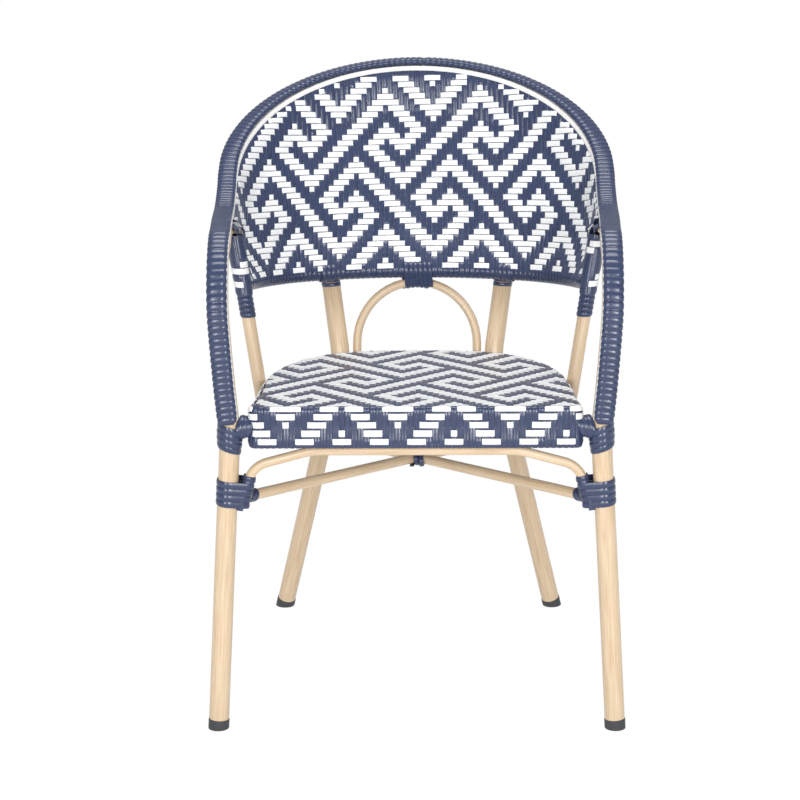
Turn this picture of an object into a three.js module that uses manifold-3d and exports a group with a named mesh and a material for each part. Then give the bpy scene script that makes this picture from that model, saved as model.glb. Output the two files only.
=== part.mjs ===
// A rattan bistro armchair: bent aluminium tube, woven back and seat, and wound joints.
// Millimetres, +Z up, the sitter faces -Y. It is drawn from the floor midway between the front feet,
// and moved at the end so that the middle of its footprint stands at the origin.

import * as THREE from "three";
import { mergeVertices } from "three/addons/utils/BufferGeometryUtils.js";
import Module from "manifold-3d";

const wasm = await Module();
wasm.setup();

// Tubes
const LEG_R = 14;
const LEG_WALL = 1.6;
const POST_R = 9.5;
const POST_WALL = 1.4;
const RING_R = 9.5;
const ARCH_R = 6.5;
const BRACE_R = 6.5;
const STRETCHER_R = 7.5;
const GAP = 0.35;
const OVERRUN = 6;

// Front legs, arms and hoop
const FOOT_HALF_WIDTH = 276;
const CORNER_HALF_WIDTH = 250.5;
const CORNER_HEIGHT = 430;
const ARM_HALF_WIDTH = 265;
const HOOP_HALF_WIDTH = 277;
const ARM_HEIGHT = 666;
const ARM_BEND_R = 80;
const ARM_FLAT_END = 238;
const HOOP_BEND_R = 220;
const HOOP_PITCH = THREE.MathUtils.degToRad(35);
const HOOP_DEPTH = 247;

// Rear legs and uprights
const REAR_FOOT_HALF_WIDTH = 215.5;
const REAR_FOOT_Y = 529.5;
const REAR_KINK_HALF_WIDTH = 114.5;
const REAR_KINK_Y = 395;
const REAR_KINK_HEIGHT = 437;
const REAR_KINK_BEND = 24;
const REAR_TOP_HALF_WIDTH = 170;
const REAR_TOP_Y = 551;
const REAR_TOP_HEIGHT = 809;

// Seat
const SEAT_FRONT_HEIGHT = 463;
const SEAT_SLOPE = THREE.MathUtils.degToRad(1.9);
const SEAT_HALF_WIDTH = 222;
const SEAT_TAPER = 2;
const SEAT_FRONT_Y = -12;
const SEAT_STRAIGHT_END = 60;
const SEAT_REAR_Y = 409;
const SEAT_SHAPE_POWER = 2.8;
const SEAT_CORNER_R = 27;
const SEAT_EDGE_R = 5;
const APRON_HEIGHT = 56;
const SEAT_SKIN = 3.6;
const RING_WALL = 1.5;
const WELD_JOINT = 0.6;
const STUB_Y = 4;

// Back panel and its rail
const RAIL_CENTRE_HEIGHT = 567;
const RAIL_END_RISE = 21;
const RAIL_HALF_WIDTH = 246;
const RAIL_SIDE_R = 148;
const RAIL_BACK_R = 410;
const WEAVE_WRAP = 2.3;
const WEAVE_SHEET = 5;

// Side posts
const SIDE_POST_SEAT_Y = 195;
const SIDE_POST_FOOT_HEIGHT = 421;
const SIDE_POST_TOP_HALF_WIDTH = 258;
const SIDE_POST_TOP_Y = 212;
const SIDE_POST_TOP_HEIGHT = 668;

// Foot caps
const CAP_HEIGHT = 15;
const CAP_PROUD = 0.6;
const SPIGOT_LENGTH = 26;
const SPIGOT_PLAY = 0.35;

// Arm cap and edge strip
const ARM_CAP_WIDTH = 27;
const ARM_CAP_THICKNESS = 11.4;
const ARM_CAP_EDGE_R = 5;
const ARM_CAP_ABOVE_STUB = 6.5;
const STRIP_WIDTH = 26;
const STRIP_CROWN = 1.3;
const TOP_SEAM = 1;

// Arch, brace and stretchers
const ARCH_HALF_SPAN = 91;
const ARCH_SPRING_HEIGHT = 458;
const ARCH_FOOT_HEIGHT = 415;
const ARCH_WALL = 1.2;
const BRACE_END_HEIGHT = 321;
const BRACE_LEAN = THREE.MathUtils.degToRad(14);
const BRACE_SLOPE = THREE.MathUtils.degToRad(15);
const BRACE_LEVEL_HALF = 140;
const BRACE_END_BEND_R = 36;
const BRACE_TOP_BEND_R = 90;
const BRACE_WALL = 1.2;
const STRETCHER_AIM = 12;
const STRETCHER_FRONT_HEIGHT = 332;
const STRETCHER_REAR_HEIGHT = 307;
const STRETCHER_WALL = 1.2;

// Wound strips
const TURN_STEPS = 12;
const STRIP_THICK = 1.8;
const STRIP_SPACING = 1.2;
const BROAD_STRIP = 8;
const NARROW_STRIP = 6.2;
const LEG_LASHING_TURNS = 3.5;
const CORNER_LASHING_TURNS = 2;
const ARCH_LASHING_TURNS = 5;
const POST_LASHING_TURNS = 4;
const SIDE_LASHING_TURNS = 3.5;
const SIDE_LASHING_HEIGHT = 536;
const CUFF_TURNS = 2;
const CUFF_START = 34;
const STRETCHER_LASHING_TURNS = 2;

// Colours
const BAMBOO = { color: 0xd9bd92, roughness: 0.5, metalness: 0.1 };
const NAVY = { color: 0x2b3a63, roughness: 0.42, metalness: 0 };
const WHITE = { color: 0xe9e9e4, roughness: 0.45, metalness: 0 };
const RUBBER = { color: 0x3a3d42, roughness: 0.6, metalness: 0 };

// Heights that follow from the seat
const seatTop = (y) => SEAT_FRONT_HEIGHT - Math.tan(SEAT_SLOPE) * (y - SEAT_FRONT_Y);
const STUB_HEIGHT = seatTop(STUB_Y) - APRON_HEIGHT / 2;
const ARM_CAP_START_HEIGHT = STUB_HEIGHT + ARM_CAP_ABOVE_STUB;

const chair = new THREE.Group();
const v3 = (x, y, z) => new THREE.Vector3(x, y, z);
const mirrored = (p) => v3(-p.x, p.y, p.z);
const SIDES = [["left", -1], ["right", 1]];

function add(name, geometry, look) {
  const mesh = new THREE.Mesh(geometry, new THREE.MeshStandardMaterial(look));
  mesh.name = name;
  chair.add(mesh);
}

// Solids for cutting and joining
function solid(geometry) {
  const bare = geometry.clone();
  bare.deleteAttribute("normal");
  bare.deleteAttribute("uv");
  const merged = mergeVertices(bare, 1e-4);
  return new wasm.Manifold(
    new wasm.Mesh({
      numProp: 3,
      vertProperties: merged.attributes.position.array,
      triVerts: new Uint32Array(merged.index.array),
    }),
  );
}

const MERGE_WITHIN = 0.03;

function geometryOf(manifold) {
  const mesh = manifold.simplify(MERGE_WITHIN).getMesh();
  const geometry = new THREE.BufferGeometry();
  geometry.setAttribute("position", new THREE.BufferAttribute(mesh.vertProperties, 3));
  geometry.setIndex(new THREE.BufferAttribute(mesh.triVerts, 1));
  return geometry;
}

const largest = (manifold) => manifold.decompose().sort((a, b) => b.volume() - a.volume())[0];

// Curves through points, closely enough sampled to read places and directions from
function curveThrough(points) {
  return new THREE.CatmullRomCurve3(points, false, "centripetal");
}

// Frames along a list of points: tangent t, sideways b and outward n, from a sideways hint
function framesAlong(points, sideHint) {
  return points.map((p, i) => {
    const before = points[Math.max(i - 1, 0)];
    const after = points[Math.min(i + 1, points.length - 1)];
    const t = after.clone().sub(before).normalize();
    const n = sideHint(t, p).clone().cross(t).normalize();
    const b = t.clone().cross(n).normalize();
    return { p, t, b, n };
  });
}

// Skins rings of equal count into a closed body; an inner ring set makes it a hollow one.
// Crossed quads are split along their other diagonal, so that two facing skins twist alike.
function skin(rings, inner = null, crossed = false) {
  const vertices = [];
  const faces = [];
  const count = rings[0].length;
  const put = (list) => list.forEach((ring) => ring.forEach((p) => vertices.push(p.x, p.y, p.z)));
  put(rings);
  const wall = (start, rows, turned) => {
    for (let r = 0; r < rows - 1; r++) {
      for (let c = 0; c < count; c++) {
        const a = start + r * count + c;
        const b = start + r * count + ((c + 1) % count);
        const quad = turned ? [a, a + count, b + count, b] : [a, b, b + count, a + count];
        if (crossed) quad.push(quad.shift());
        faces.push(quad[0], quad[1], quad[2], quad[0], quad[2], quad[3]);
      }
    }
  };
  wall(0, rings.length, false);
  const last = (rings.length - 1) * count;
  if (inner) {
    const shift = rings.length * count;
    put(inner);
    wall(shift, inner.length, true);
    for (let c = 0; c < count; c++) {
      const d = (c + 1) % count;
      faces.push(c, shift + c, shift + d, c, shift + d, d);
      faces.push(last + c, last + d, shift + last + d, last + c, shift + last + d, shift + last + c);
    }
  } else {
    const flat = rings[0].map((p, c) => sectionPoint(rings[0], c));
    const ends = THREE.ShapeUtils.triangulateShape(flat, []);
    ends.forEach(([a, b, c]) => {
      faces.push(a, c, b);
      faces.push(last + a, last + b, last + c);
    });
  }
  const geometry = new THREE.BufferGeometry();
  geometry.setAttribute("position", new THREE.Float32BufferAttribute(vertices, 3));
  geometry.setIndex(faces);
  return geometry;
}

// A ring's points in its own plane, for closing an end
function sectionPoint(ring, index) {
  const origin = ring[0];
  const u = ring[1].clone().sub(origin).normalize();
  let w = v3(0, 0, 0);
  for (let i = 1; i < ring.length - 1; i++) {
    w.add(ring[i].clone().sub(origin).cross(ring[i + 1].clone().sub(origin)));
  }
  w = w.normalize().cross(u);
  const d = ring[index].clone().sub(origin);
  return new THREE.Vector2(d.dot(u), d.dot(w));
}

function sweep(frames, section, bore = null, crossed = false) {
  const place = (outline) =>
    frames.map(({ p, b, n }) =>
      outline.map((q) => p.clone().addScaledVector(b, q.x).addScaledVector(n, q.y)),
    );
  return skin(place(section), bore ? place(bore) : null, crossed);
}

function circle(radius, sides) {
  const points = [];
  for (let i = 0; i < sides; i++) {
    const a = (i / sides) * 2 * Math.PI + Math.PI / sides;
    points.push(new THREE.Vector2(radius * Math.sin(a), radius * Math.cos(a)));
  }
  return points;
}

// Sideways hints: for upright runs, and for runs that stay near level
const uprightSide = () => v3(1, 0, 0);
const levelSide = (t) => v3(t.y, -t.x, 0);

function tube(points, radius, wall, sides, hint = uprightSide) {
  const frames = framesAlong(points, hint);
  const bore = wall ? circle(radius - wall, sides) : null;
  return sweep(frames, circle(radius, sides), bore);
}

// A rod along points, for cutting clearances
const rod = (points, radius, sides = 12, hint = uprightSide) => solid(tube(points, radius, 0, sides, hint));

function extended(points, length) {
  const first = points[0].clone().sub(points[1]).setLength(length).add(points[0]);
  const n = points.length;
  const last = points[n - 1].clone().sub(points[n - 2]).setLength(length).add(points[n - 1]);
  return [first, ...points, last];
}

// The hoop's right half, from the foot to the middle of the top
const HOOP_START_Y = ARM_FLAT_END + HOOP_BEND_R * Math.sin(HOOP_PITCH);
const HOOP_START_HEIGHT = ARM_HEIGHT + HOOP_BEND_R * (1 - Math.cos(HOOP_PITCH));

function hoopPoint(angle) {
  const along = HOOP_DEPTH * Math.sin(angle);
  return v3(
    HOOP_HALF_WIDTH * Math.cos(angle),
    HOOP_START_Y + along * Math.cos(HOOP_PITCH),
    HOOP_START_HEIGHT + along * Math.sin(HOOP_PITCH),
  );
}

function legHalfWidth(z) {
  return FOOT_HALF_WIDTH + ((CORNER_HALF_WIDTH - FOOT_HALF_WIDTH) * z) / CORNER_HEIGHT;
}

function hoopHalf() {
  const points = [v3(legHalfWidth(CAP_HEIGHT), 0, CAP_HEIGHT)];
  const straightShares = [0.6, 0.95];
  straightShares.forEach((s) => points.push(v3(legHalfWidth(s * CORNER_HEIGHT), 0, s * CORNER_HEIGHT)));
  const bendStart = ARM_HEIGHT - ARM_BEND_R;
  const riseShares = [0.06, 0.4, 1];
  const spread = ARM_HALF_WIDTH - CORNER_HALF_WIDTH;
  const spreadShare = 0.8;
  riseShares.forEach((s) =>
    points.push(
      v3(
        CORNER_HALF_WIDTH + spread * spreadShare * Math.pow(s, 0.8),
        0,
        CORNER_HEIGHT + (bendStart - CORNER_HEIGHT) * s,
      ),
    ),
  );
  const elbowX = CORNER_HALF_WIDTH + spread * spreadShare;
  const elbowSteps = 6;
  for (let i = 1; i <= elbowSteps; i++) {
    const a = (i / elbowSteps) * (Math.PI / 2);
    points.push(
      v3(
        elbowX + (ARM_HALF_WIDTH - elbowX) * (i / elbowSteps),
        ARM_BEND_R * (1 - Math.cos(a)),
        bendStart + ARM_BEND_R * Math.sin(a),
      ),
    );
  }
  const armSteps = 2;
  const widen = (y) => {
    const share = (y - ARM_BEND_R) / (HOOP_START_Y - ARM_BEND_R);
    return ARM_HALF_WIDTH + (HOOP_HALF_WIDTH - ARM_HALF_WIDTH) * Math.sin((share * Math.PI) / 2);
  };
  for (let i = 1; i <= armSteps; i++) {
    const y = ARM_BEND_R + (ARM_FLAT_END - ARM_BEND_R) * (i / armSteps);
    points.push(v3(widen(y), y, ARM_HEIGHT));
  }
  const liftSteps = 3;
  for (let i = 1; i <= liftSteps; i++) {
    const a = (i / (liftSteps + 1)) * HOOP_PITCH;
    const y = ARM_FLAT_END + HOOP_BEND_R * Math.sin(a);
    points.push(v3(widen(y), y, ARM_HEIGHT + HOOP_BEND_R * (1 - Math.cos(a))));
  }
  const hoopSteps = 10;
  for (let i = 0; i <= hoopSteps; i++) points.push(hoopPoint((i / hoopSteps) * (Math.PI / 2)));
  return points;
}

const HOOP_RIGHT = hoopHalf();
const HOOP_LINE = [...HOOP_RIGHT, ...HOOP_RIGHT.slice(0, -1).reverse().map(mirrored)];
const HOOP_CURVE = curveThrough(HOOP_LINE);

// Points along the hoop between two shares of its control points, finer where it bends
function hoopSamples(from, to, perSpan) {
  const spans = HOOP_LINE.length - 1;
  const points = [];
  for (let i = Math.round(from * perSpan); i <= Math.round(to * perSpan); i++) {
    points.push(HOOP_CURVE.getPoint(i / perSpan / spans));
  }
  return points;
}

// Sideways on the hoop: level, turning from +X on the right leg to -X on the left one
function hoopSide(t) {
  const steep = Math.pow(Math.abs(t.z), 4);
  return v3(t.y + Math.sign(t.z || 1) * steep, -t.x * (1 - steep), 0).normalize();
}

const SPANS = HOOP_LINE.length - 1;
const HOOP_SIDES = 10;
const hoopPoints = hoopSamples(0, SPANS, 1);
add("hoop_frame", tube(hoopPoints, LEG_R, LEG_WALL, HOOP_SIDES, hoopSide), BAMBOO);
const hoopClearance = rod(extended(hoopPoints, OVERRUN), LEG_R + GAP, HOOP_SIDES, hoopSide);

// The arm cap and the edge strip under it, from the seat corner to the top seam
function archedSection(width, arcR, top, edgeR) {
  const half = width / 2;
  const points = [];
  const bottomSteps = arcR ? 6 : 1;
  const reach = arcR ? Math.asin(half / arcR) : 0;
  for (let i = 0; i <= bottomSteps; i++) {
    const a = reach * (1 - (2 * i) / bottomSteps);
    const flatX = half * (1 - (2 * i) / bottomSteps);
    points.push(new THREE.Vector2(arcR ? arcR * Math.sin(a) : flatX, arcR ? arcR * Math.cos(a) : CAP_BOTTOM));
  }
  const cut = edgeR * (1 - Math.SQRT1_2);
  points.push(new THREE.Vector2(-half, top - edgeR));
  if (edgeR) {
    points.push(new THREE.Vector2(-half + cut, top - cut));
    points.push(new THREE.Vector2(-half + edgeR, top));
    points.push(new THREE.Vector2(half - edgeR, top));
    points.push(new THREE.Vector2(half - cut, top - cut));
  }
  points.push(new THREE.Vector2(half, top - edgeR));
  return points;
}

const STRIP_SEAT_R = LEG_R + 2 * GAP;
const STRIP_TOP = STRIP_SEAT_R + STRIP_CROWN;
const CAP_BOTTOM = STRIP_TOP + GAP;
const CAP_TOP = CAP_BOTTOM + ARM_CAP_THICKNESS;

const hoopFrames = framesAlong(hoopPoints, hoopSide);

// The hoop's frames from the seat corner to the seam, for the right or the left cap
function capFramesOf(sign) {
  const middle = (hoopFrames.length - 1) / 2;
  const half = sign > 0 ? hoopFrames.slice(0, middle + 1) : hoopFrames.slice(middle).reverse();
  const above = half.filter((f) => f.p.z > ARM_CAP_START_HEIGHT);
  const below = half[half.indexOf(above[0]) - 1];
  const share = (ARM_CAP_START_HEIGHT - below.p.z) / (above[0].p.z - below.p.z);
  const start = { ...below, p: below.p.clone().lerp(above[0].p, share), t: above[0].t };
  const seam = { ...above[above.length - 1] };
  seam.p = v3((sign * TOP_SEAM) / 2, seam.p.y, seam.p.z);
  const frames = [start, ...above.slice(0, -1), seam];
  return sign > 0 ? frames : frames.reverse();
}

const stripSection = archedSection(STRIP_WIDTH, STRIP_SEAT_R, STRIP_TOP, 0);
const capSection = archedSection(ARM_CAP_WIDTH, 0, CAP_TOP, ARM_CAP_EDGE_R);
SIDES.forEach(([side, sign]) => {
  const frames = capFramesOf(sign);
  add(`edge_strip_${side}`, sweep(frames, stripSection), WHITE);
  add(`arm_cap_${side}`, sweep(frames, capSection, null, true), NAVY);
});

// Rear legs and uprights: straight legs and uprights joined by a bend behind the seat
const rearFoot = v3(REAR_FOOT_HALF_WIDTH, REAR_FOOT_Y, 0);
const rearKink = v3(REAR_KINK_HALF_WIDTH, REAR_KINK_Y, REAR_KINK_HEIGHT);
const rearTop = v3(REAR_TOP_HALF_WIDTH, REAR_TOP_Y, REAR_TOP_HEIGHT);
const uprightWay = rearTop.clone().sub(rearKink).normalize();
const uprightAt = (z) => rearKink.clone().addScaledVector(uprightWay, (z - rearKink.z) / uprightWay.z);

function rearLine(sign) {
  const down = rearFoot.clone().sub(rearKink).normalize();
  const capTop = rearFoot.clone().addScaledVector(down, -CAP_HEIGHT / Math.abs(down.z));
  const bend = new THREE.QuadraticBezierCurve3(
    rearKink.clone().addScaledVector(down, REAR_KINK_BEND),
    rearKink,
    rearKink.clone().addScaledVector(uprightWay, REAR_KINK_BEND),
  );
  const points = [capTop, ...bend.getPoints(5), rearTop];
  return sign > 0 ? points : points.map(mirrored);
}

SIDES.forEach(([side, sign]) => {
  const leg = solid(tube(rearLine(sign), LEG_R, LEG_WALL, 12));
  add(`rear_leg_${side}`, geometryOf(leg.subtract(hoopClearance)), BAMBOO);
});
const rearClearance = SIDES.map(([, sign]) => rod(extended(rearLine(sign), OVERRUN), LEG_R + GAP, 12));

// The seat's plan outline, drawn in by an inset, anticlockwise from the middle of the front
const CORNER_STEPS = 4;
const SEAT_STEPS = 11;

function seatHalfAt(y) {
  if (y < SEAT_STRAIGHT_END) return SEAT_HALF_WIDTH - (SEAT_TAPER * (y - SEAT_FRONT_Y)) / (SEAT_STRAIGHT_END - SEAT_FRONT_Y);
  const share = Math.min((y - SEAT_STRAIGHT_END) / (SEAT_REAR_Y - SEAT_STRAIGHT_END), 1);
  return (SEAT_HALF_WIDTH - SEAT_TAPER) * Math.pow(1 - Math.pow(share, SEAT_SHAPE_POWER), 1 / SEAT_SHAPE_POWER);
}

function seatRearAt(x) {
  const share = x / (SEAT_HALF_WIDTH - SEAT_TAPER);
  const depth = SEAT_REAR_Y - SEAT_STRAIGHT_END;
  return SEAT_STRAIGHT_END + depth * Math.pow(1 - Math.pow(share, SEAT_SHAPE_POWER), 1 / SEAT_SHAPE_POWER);
}

function seatRightPlan() {
  const points = [new THREE.Vector2(0, SEAT_FRONT_Y)];
  for (let i = 0; i <= CORNER_STEPS; i++) {
    const a = (i / CORNER_STEPS) * (Math.PI / 2);
    points.push(
      new THREE.Vector2(
        SEAT_HALF_WIDTH - SEAT_CORNER_R * (1 - Math.sin(a)),
        SEAT_FRONT_Y + SEAT_CORNER_R * (1 - Math.cos(a)),
      ),
    );
  }
  const power = 2 / SEAT_SHAPE_POWER;
  for (let i = 0; i <= SEAT_STEPS; i++) {
    const a = (i / SEAT_STEPS) * (Math.PI / 2);
    const width = SEAT_HALF_WIDTH - SEAT_TAPER;
    const depth = SEAT_REAR_Y - SEAT_STRAIGHT_END;
    const x = i === SEAT_STEPS ? 0 : width * Math.pow(Math.cos(a), power);
    points.push(new THREE.Vector2(x, SEAT_STRAIGHT_END + depth * Math.pow(Math.sin(a), power)));
  }
  return points;
}

const seatRight = seatRightPlan();
const seatPlan = [
  ...seatRight,
  ...seatRight
    .slice(1, -1)
    .reverse()
    .map((p) => new THREE.Vector2(-p.x, p.y)),
];

// Each corner moves in along the line that halves its angle
function seatOutline(inset) {
  const count = seatPlan.length;
  return seatPlan.map((p, i) => {
    const before = seatPlan[(i + count - 1) % count];
    const after = seatPlan[(i + 1) % count];
    const a = p.clone().sub(before).normalize();
    const b = after.clone().sub(p).normalize();
    const inward = new THREE.Vector2(-a.y - b.y, a.x + b.x).normalize();
    const half = Math.sqrt((1 + a.dot(b)) / 2);
    return p.clone().addScaledVector(inward, inset / half);
  });
}

const seatRing = (inset, depth) => seatOutline(inset).map((p) => v3(p.x, p.y, seatTop(p.y) + depth));
const seatPrism = (levels) => solid(skin(levels.map(([inset, depth]) => seatRing(inset, depth))));

// Two rings inside the seat's skin, each a bent tube whose ends meet behind
const RING_SIDES = 6;
const RING_INSET = SEAT_SKIN + GAP + RING_R;

function ringPath(depth) {
  const ring = seatRing(RING_INSET, depth);
  const rear = ring.length / 2;
  const path = [...ring.slice(rear), ...ring.slice(0, rear)];
  const first = path[0].clone().add(v3(-WELD_JOINT / 2, 0, 0));
  const last = path[0].clone().add(v3(WELD_JOINT / 2, 0, 0));
  return [first, ...path.slice(1), last];
}

const ringPaths = { upper: ringPath(-RING_INSET), lower: ringPath(RING_INSET - APRON_HEIGHT) };
const ringClearance = Object.values(ringPaths).map((path) => rod(path, RING_R + GAP, RING_SIDES, levelSide));
Object.entries(ringPaths).forEach(([name, path]) => {
  let ring = solid(tube(path, RING_R, RING_WALL, RING_SIDES, levelSide));
  rearClearance.forEach((cut) => {
    ring = ring.subtract(cut);
  });
  add(`seat_${name}_ring`, geometryOf(largest(ring)), BAMBOO);
});

// Side posts, from the seat's rings to the underside of the arms
const SIDE_POST_TOP_AT = v3(SIDE_POST_TOP_HALF_WIDTH, SIDE_POST_TOP_Y, SIDE_POST_TOP_HEIGHT);
const SIDE_POST_FOOT_AT = v3(
  seatHalfAt(SIDE_POST_SEAT_Y) - SEAT_SKIN + POST_R,
  SIDE_POST_SEAT_Y,
  SIDE_POST_FOOT_HEIGHT,
);

function sidePostLine(sign, from = 0, to = 1) {
  const points = [from, to].map((share) => SIDE_POST_FOOT_AT.clone().lerp(SIDE_POST_TOP_AT, share));
  return sign > 0 ? points : points.map(mirrored);
}

const postShare = (height) => (height - SIDE_POST_FOOT_HEIGHT) / (SIDE_POST_TOP_AT.z - SIDE_POST_FOOT_HEIGHT);
const sidePostClearance = SIDES.map(([, sign]) => rod(extended(sidePostLine(sign), OVERRUN), POST_R + GAP));
SIDES.forEach(([side, sign]) => {
  const post = solid(tube(sidePostLine(sign), POST_R, POST_WALL, 12));
  add(`side_post_${side}`, geometryOf(post.subtract(hoopClearance)), BAMBOO);
});

// Corner stubs, from the front legs in to the seat's rings
const stubLine = (sign) => [
  v3(sign * legHalfWidth(STUB_HEIGHT), STUB_Y, STUB_HEIGHT),
  v3(sign * (SEAT_HALF_WIDTH - RING_INSET - RING_R / 2), STUB_Y, STUB_HEIGHT),
];
const acrossHint = () => v3(0, 1, 0);
const stubClearance = SIDES.map(([, sign]) => rod(stubLine(sign), POST_R + GAP, 12, acrossHint));
SIDES.forEach(([side, sign]) => {
  let stub = solid(tube(stubLine(sign), POST_R, POST_WALL, 12, acrossHint));
  [hoopClearance, ...ringClearance].forEach((cut) => {
    stub = stub.subtract(cut);
  });
  add(`corner_stub_${side}`, geometryOf(largest(stub)), BAMBOO);
});

// The woven seat: deck, apron and a return under the lower ring, open below
const roll = SEAT_EDGE_R * (1 - Math.SQRT1_2);
let seatWeave = seatPrism([
  [SEAT_EDGE_R, -APRON_HEIGHT],
  [roll, roll - APRON_HEIGHT],
  [0, SEAT_EDGE_R - APRON_HEIGHT],
  [0, -SEAT_EDGE_R],
  [roll, -roll],
  [SEAT_EDGE_R, 0],
]);
const returnWidth = SEAT_SKIN + 2 * (RING_R + GAP);
[
  seatPrism([[SEAT_SKIN, SEAT_SKIN - APRON_HEIGHT], [SEAT_SKIN, -SEAT_SKIN]]),
  seatPrism([[returnWidth, -APRON_HEIGHT - OVERRUN], [returnWidth, -APRON_HEIGHT / 2]]),
  ...stubClearance,
  ...sidePostClearance,
  ...rearClearance,
].forEach((cut) => {
  seatWeave = seatWeave.subtract(cut);
});
add("seat_weave", geometryOf(largest(seatWeave)), NAVY);

// The back rail: a flat arc at the back, a tighter one at each side, then straight sides.
// It runs clear of the rear uprights, with room for its own winding in front of each.
const WRAPPED_R = POST_R + GAP + WEAVE_WRAP;
const RAIL_TO_UPRIGHT = (LEG_R + WRAPPED_R + STRIP_THICK + 9 * GAP) / uprightWay.z;
const uprightAtRail = uprightAt(RAIL_CENTRE_HEIGHT);
const railBackDrop = (x) => RAIL_BACK_R - Math.sqrt(RAIL_BACK_R * RAIL_BACK_R - x * x);
const RAIL_CENTRE_Y = uprightAtRail.y - RAIL_TO_UPRIGHT + railBackDrop(uprightAtRail.x);
const RAIL_END_HEIGHT = RAIL_CENTRE_HEIGHT + RAIL_END_RISE;
const postCorner = sidePostLine(1, postShare(RAIL_END_HEIGHT))[0];

function railRight() {
  const centreShift = RAIL_BACK_R - RAIL_SIDE_R;
  const turn = Math.asin((RAIL_HALF_WIDTH - RAIL_SIDE_R) / centreShift);
  const sideX = centreShift * Math.sin(turn);
  const sideY = RAIL_CENTRE_Y - RAIL_BACK_R + centreShift * Math.cos(turn);
  const plan = [];
  const backSteps = 3;
  for (let i = 0; i <= backSteps; i++) {
    const a = (i / backSteps) * turn;
    plan.push([RAIL_BACK_R * Math.sin(a), RAIL_CENTRE_Y - RAIL_BACK_R * (1 - Math.cos(a))]);
  }
  const sideSteps = 6;
  for (let i = 1; i <= sideSteps; i++) {
    const a = turn + (i / sideSteps) * (Math.PI / 2 - turn);
    plan.push([sideX + RAIL_SIDE_R * Math.sin(a), sideY + RAIL_SIDE_R * Math.cos(a)]);
  }
  plan.push([RAIL_HALF_WIDTH, postCorner.y]);
  return plan.map(([x, y]) => {
    const forward = (RAIL_CENTRE_Y - y) / (RAIL_CENTRE_Y - postCorner.y);
    return v3(x, y, RAIL_CENTRE_HEIGHT + RAIL_END_RISE * forward * forward);
  });
}

const RAIL_SIDES = 8;
const RAIL_RIGHT = railRight();
const railPoints = [...RAIL_RIGHT.slice(1).reverse().map(mirrored), ...RAIL_RIGHT];
const bothPosts = sidePostClearance[0].add(sidePostClearance[1]);
const rail = solid(tube(railPoints, POST_R, POST_WALL, RAIL_SIDES, levelSide));
add("back_rail", geometryOf(largest(rail.subtract(bothPosts))), BAMBOO);

// The path of a strip round two tubes side by side, with its place across them given by u and v.
// Each tube is a radius and a place along u; a single tube has both places alike.
function beltPoints(near, far, lift, steps) {
  const points = [];
  if (near.place === far.place) {
    const reach = (near.radius + lift) / Math.cos(Math.PI / steps);
    for (let i = 0; i < steps; i++) {
      const a = (i / steps) * 2 * Math.PI;
      points.push([near.place + reach * Math.cos(a), reach * Math.sin(a)]);
    }
    return points;
  }
  const tilt = Math.acos((near.radius - far.radius) / (far.place - near.place));
  const arc = (tubeAt, from, span, count) => {
    const reach = (tubeAt.radius + lift) / Math.cos(span / (count - 1) / 2);
    for (let i = 0; i < count; i++) {
      const a = from + (span * i) / (count - 1);
      points.push([tubeAt.place + reach * Math.cos(a), reach * Math.sin(a)]);
    }
  };
  const farCount = Math.max(3, Math.round((steps * tilt) / Math.PI));
  arc(near, tilt, 2 * Math.PI - 2 * tilt, steps - farCount);
  arc(far, -tilt, 2 * tilt, farCount);
  return points;
}

// A winding of flat strip: origin, axis and u place it, and belt gives its tubes at a distance along
function winding(name, { origin, axis, u, belt, turns, width, start = 0 }) {
  const v = axis.clone().cross(u);
  const pitch = width + STRIP_SPACING;
  const lift = GAP + STRIP_THICK / 2;
  const points = [];
  const count = Math.round(turns * TURN_STEPS);
  for (let i = 0; i <= count; i++) {
    const along = (i / TURN_STEPS) * pitch;
    const [near, far] = belt(along);
    const turn = beltPoints(near, far, lift, TURN_STEPS);
    const [cu, cv] = turn[(i + start) % TURN_STEPS];
    points.push(
      origin.clone().addScaledVector(axis, along).addScaledVector(u, cu).addScaledVector(v, cv),
    );
  }
  const frames = framesAlong(extended(points, width), () => axis);
  const w = width / 2;
  const h = STRIP_THICK / 2;
  const section = [[w, -h], [-w, -h], [-w, h], [w, h]].map(([x, y]) => new THREE.Vector2(x, y));
  console.log(name, "least gap to itself", leastGap(frames, section).toFixed(2), "mm");
  add(name, sweep(frames, section), NAVY);
}

// The least distance between edge points of a winding that are half a turn or more apart
function leastGap(frames, section) {
  const rings = frames.map(({ p, b, n }) =>
    section.map((q) => p.clone().addScaledVector(b, q.x).addScaledVector(n, q.y)),
  );
  let least = Infinity;
  for (let i = 0; i < rings.length; i++) {
    for (let j = i + TURN_STEPS / 2; j < rings.length; j++) {
      rings[i].forEach((a) => rings[j].forEach((b) => (least = Math.min(least, a.distanceTo(b)))));
    }
  }
  return least;
}

// The room a winding takes, as a solid for cutting
function windingRoom({ origin, axis, u, belt, turns, width }) {
  const v = axis.clone().cross(u);
  const length = turns * (width + STRIP_SPACING);
  const rings = [-width / 2 - GAP, length + width / 2 + GAP].map((along) => {
    const [near, far] = belt(Math.min(Math.max(along, 0), length));
    return beltPoints(near, far, STRIP_THICK + 5 * GAP, 18).map(([cu, cv]) =>
      origin.clone().addScaledVector(axis, along).addScaledVector(u, cu).addScaledVector(v, cv),
    );
  });
  return solid(skin(rings));
}

const windingLength = (turns, width) => turns * (width + STRIP_SPACING);

// The arch behind the seat, its top under the wrapped rail and its feet at the seat's rear
const ARCH_TOP = RAIL_CENTRE_HEIGHT - WRAPPED_R - GAP - ARCH_R;
const ARCH_RISE = ARCH_TOP - ARCH_SPRING_HEIGHT;
const ARCH_FOOT_Y = seatRearAt(ARCH_HALF_SPAN) + GAP + ARCH_R;

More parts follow.
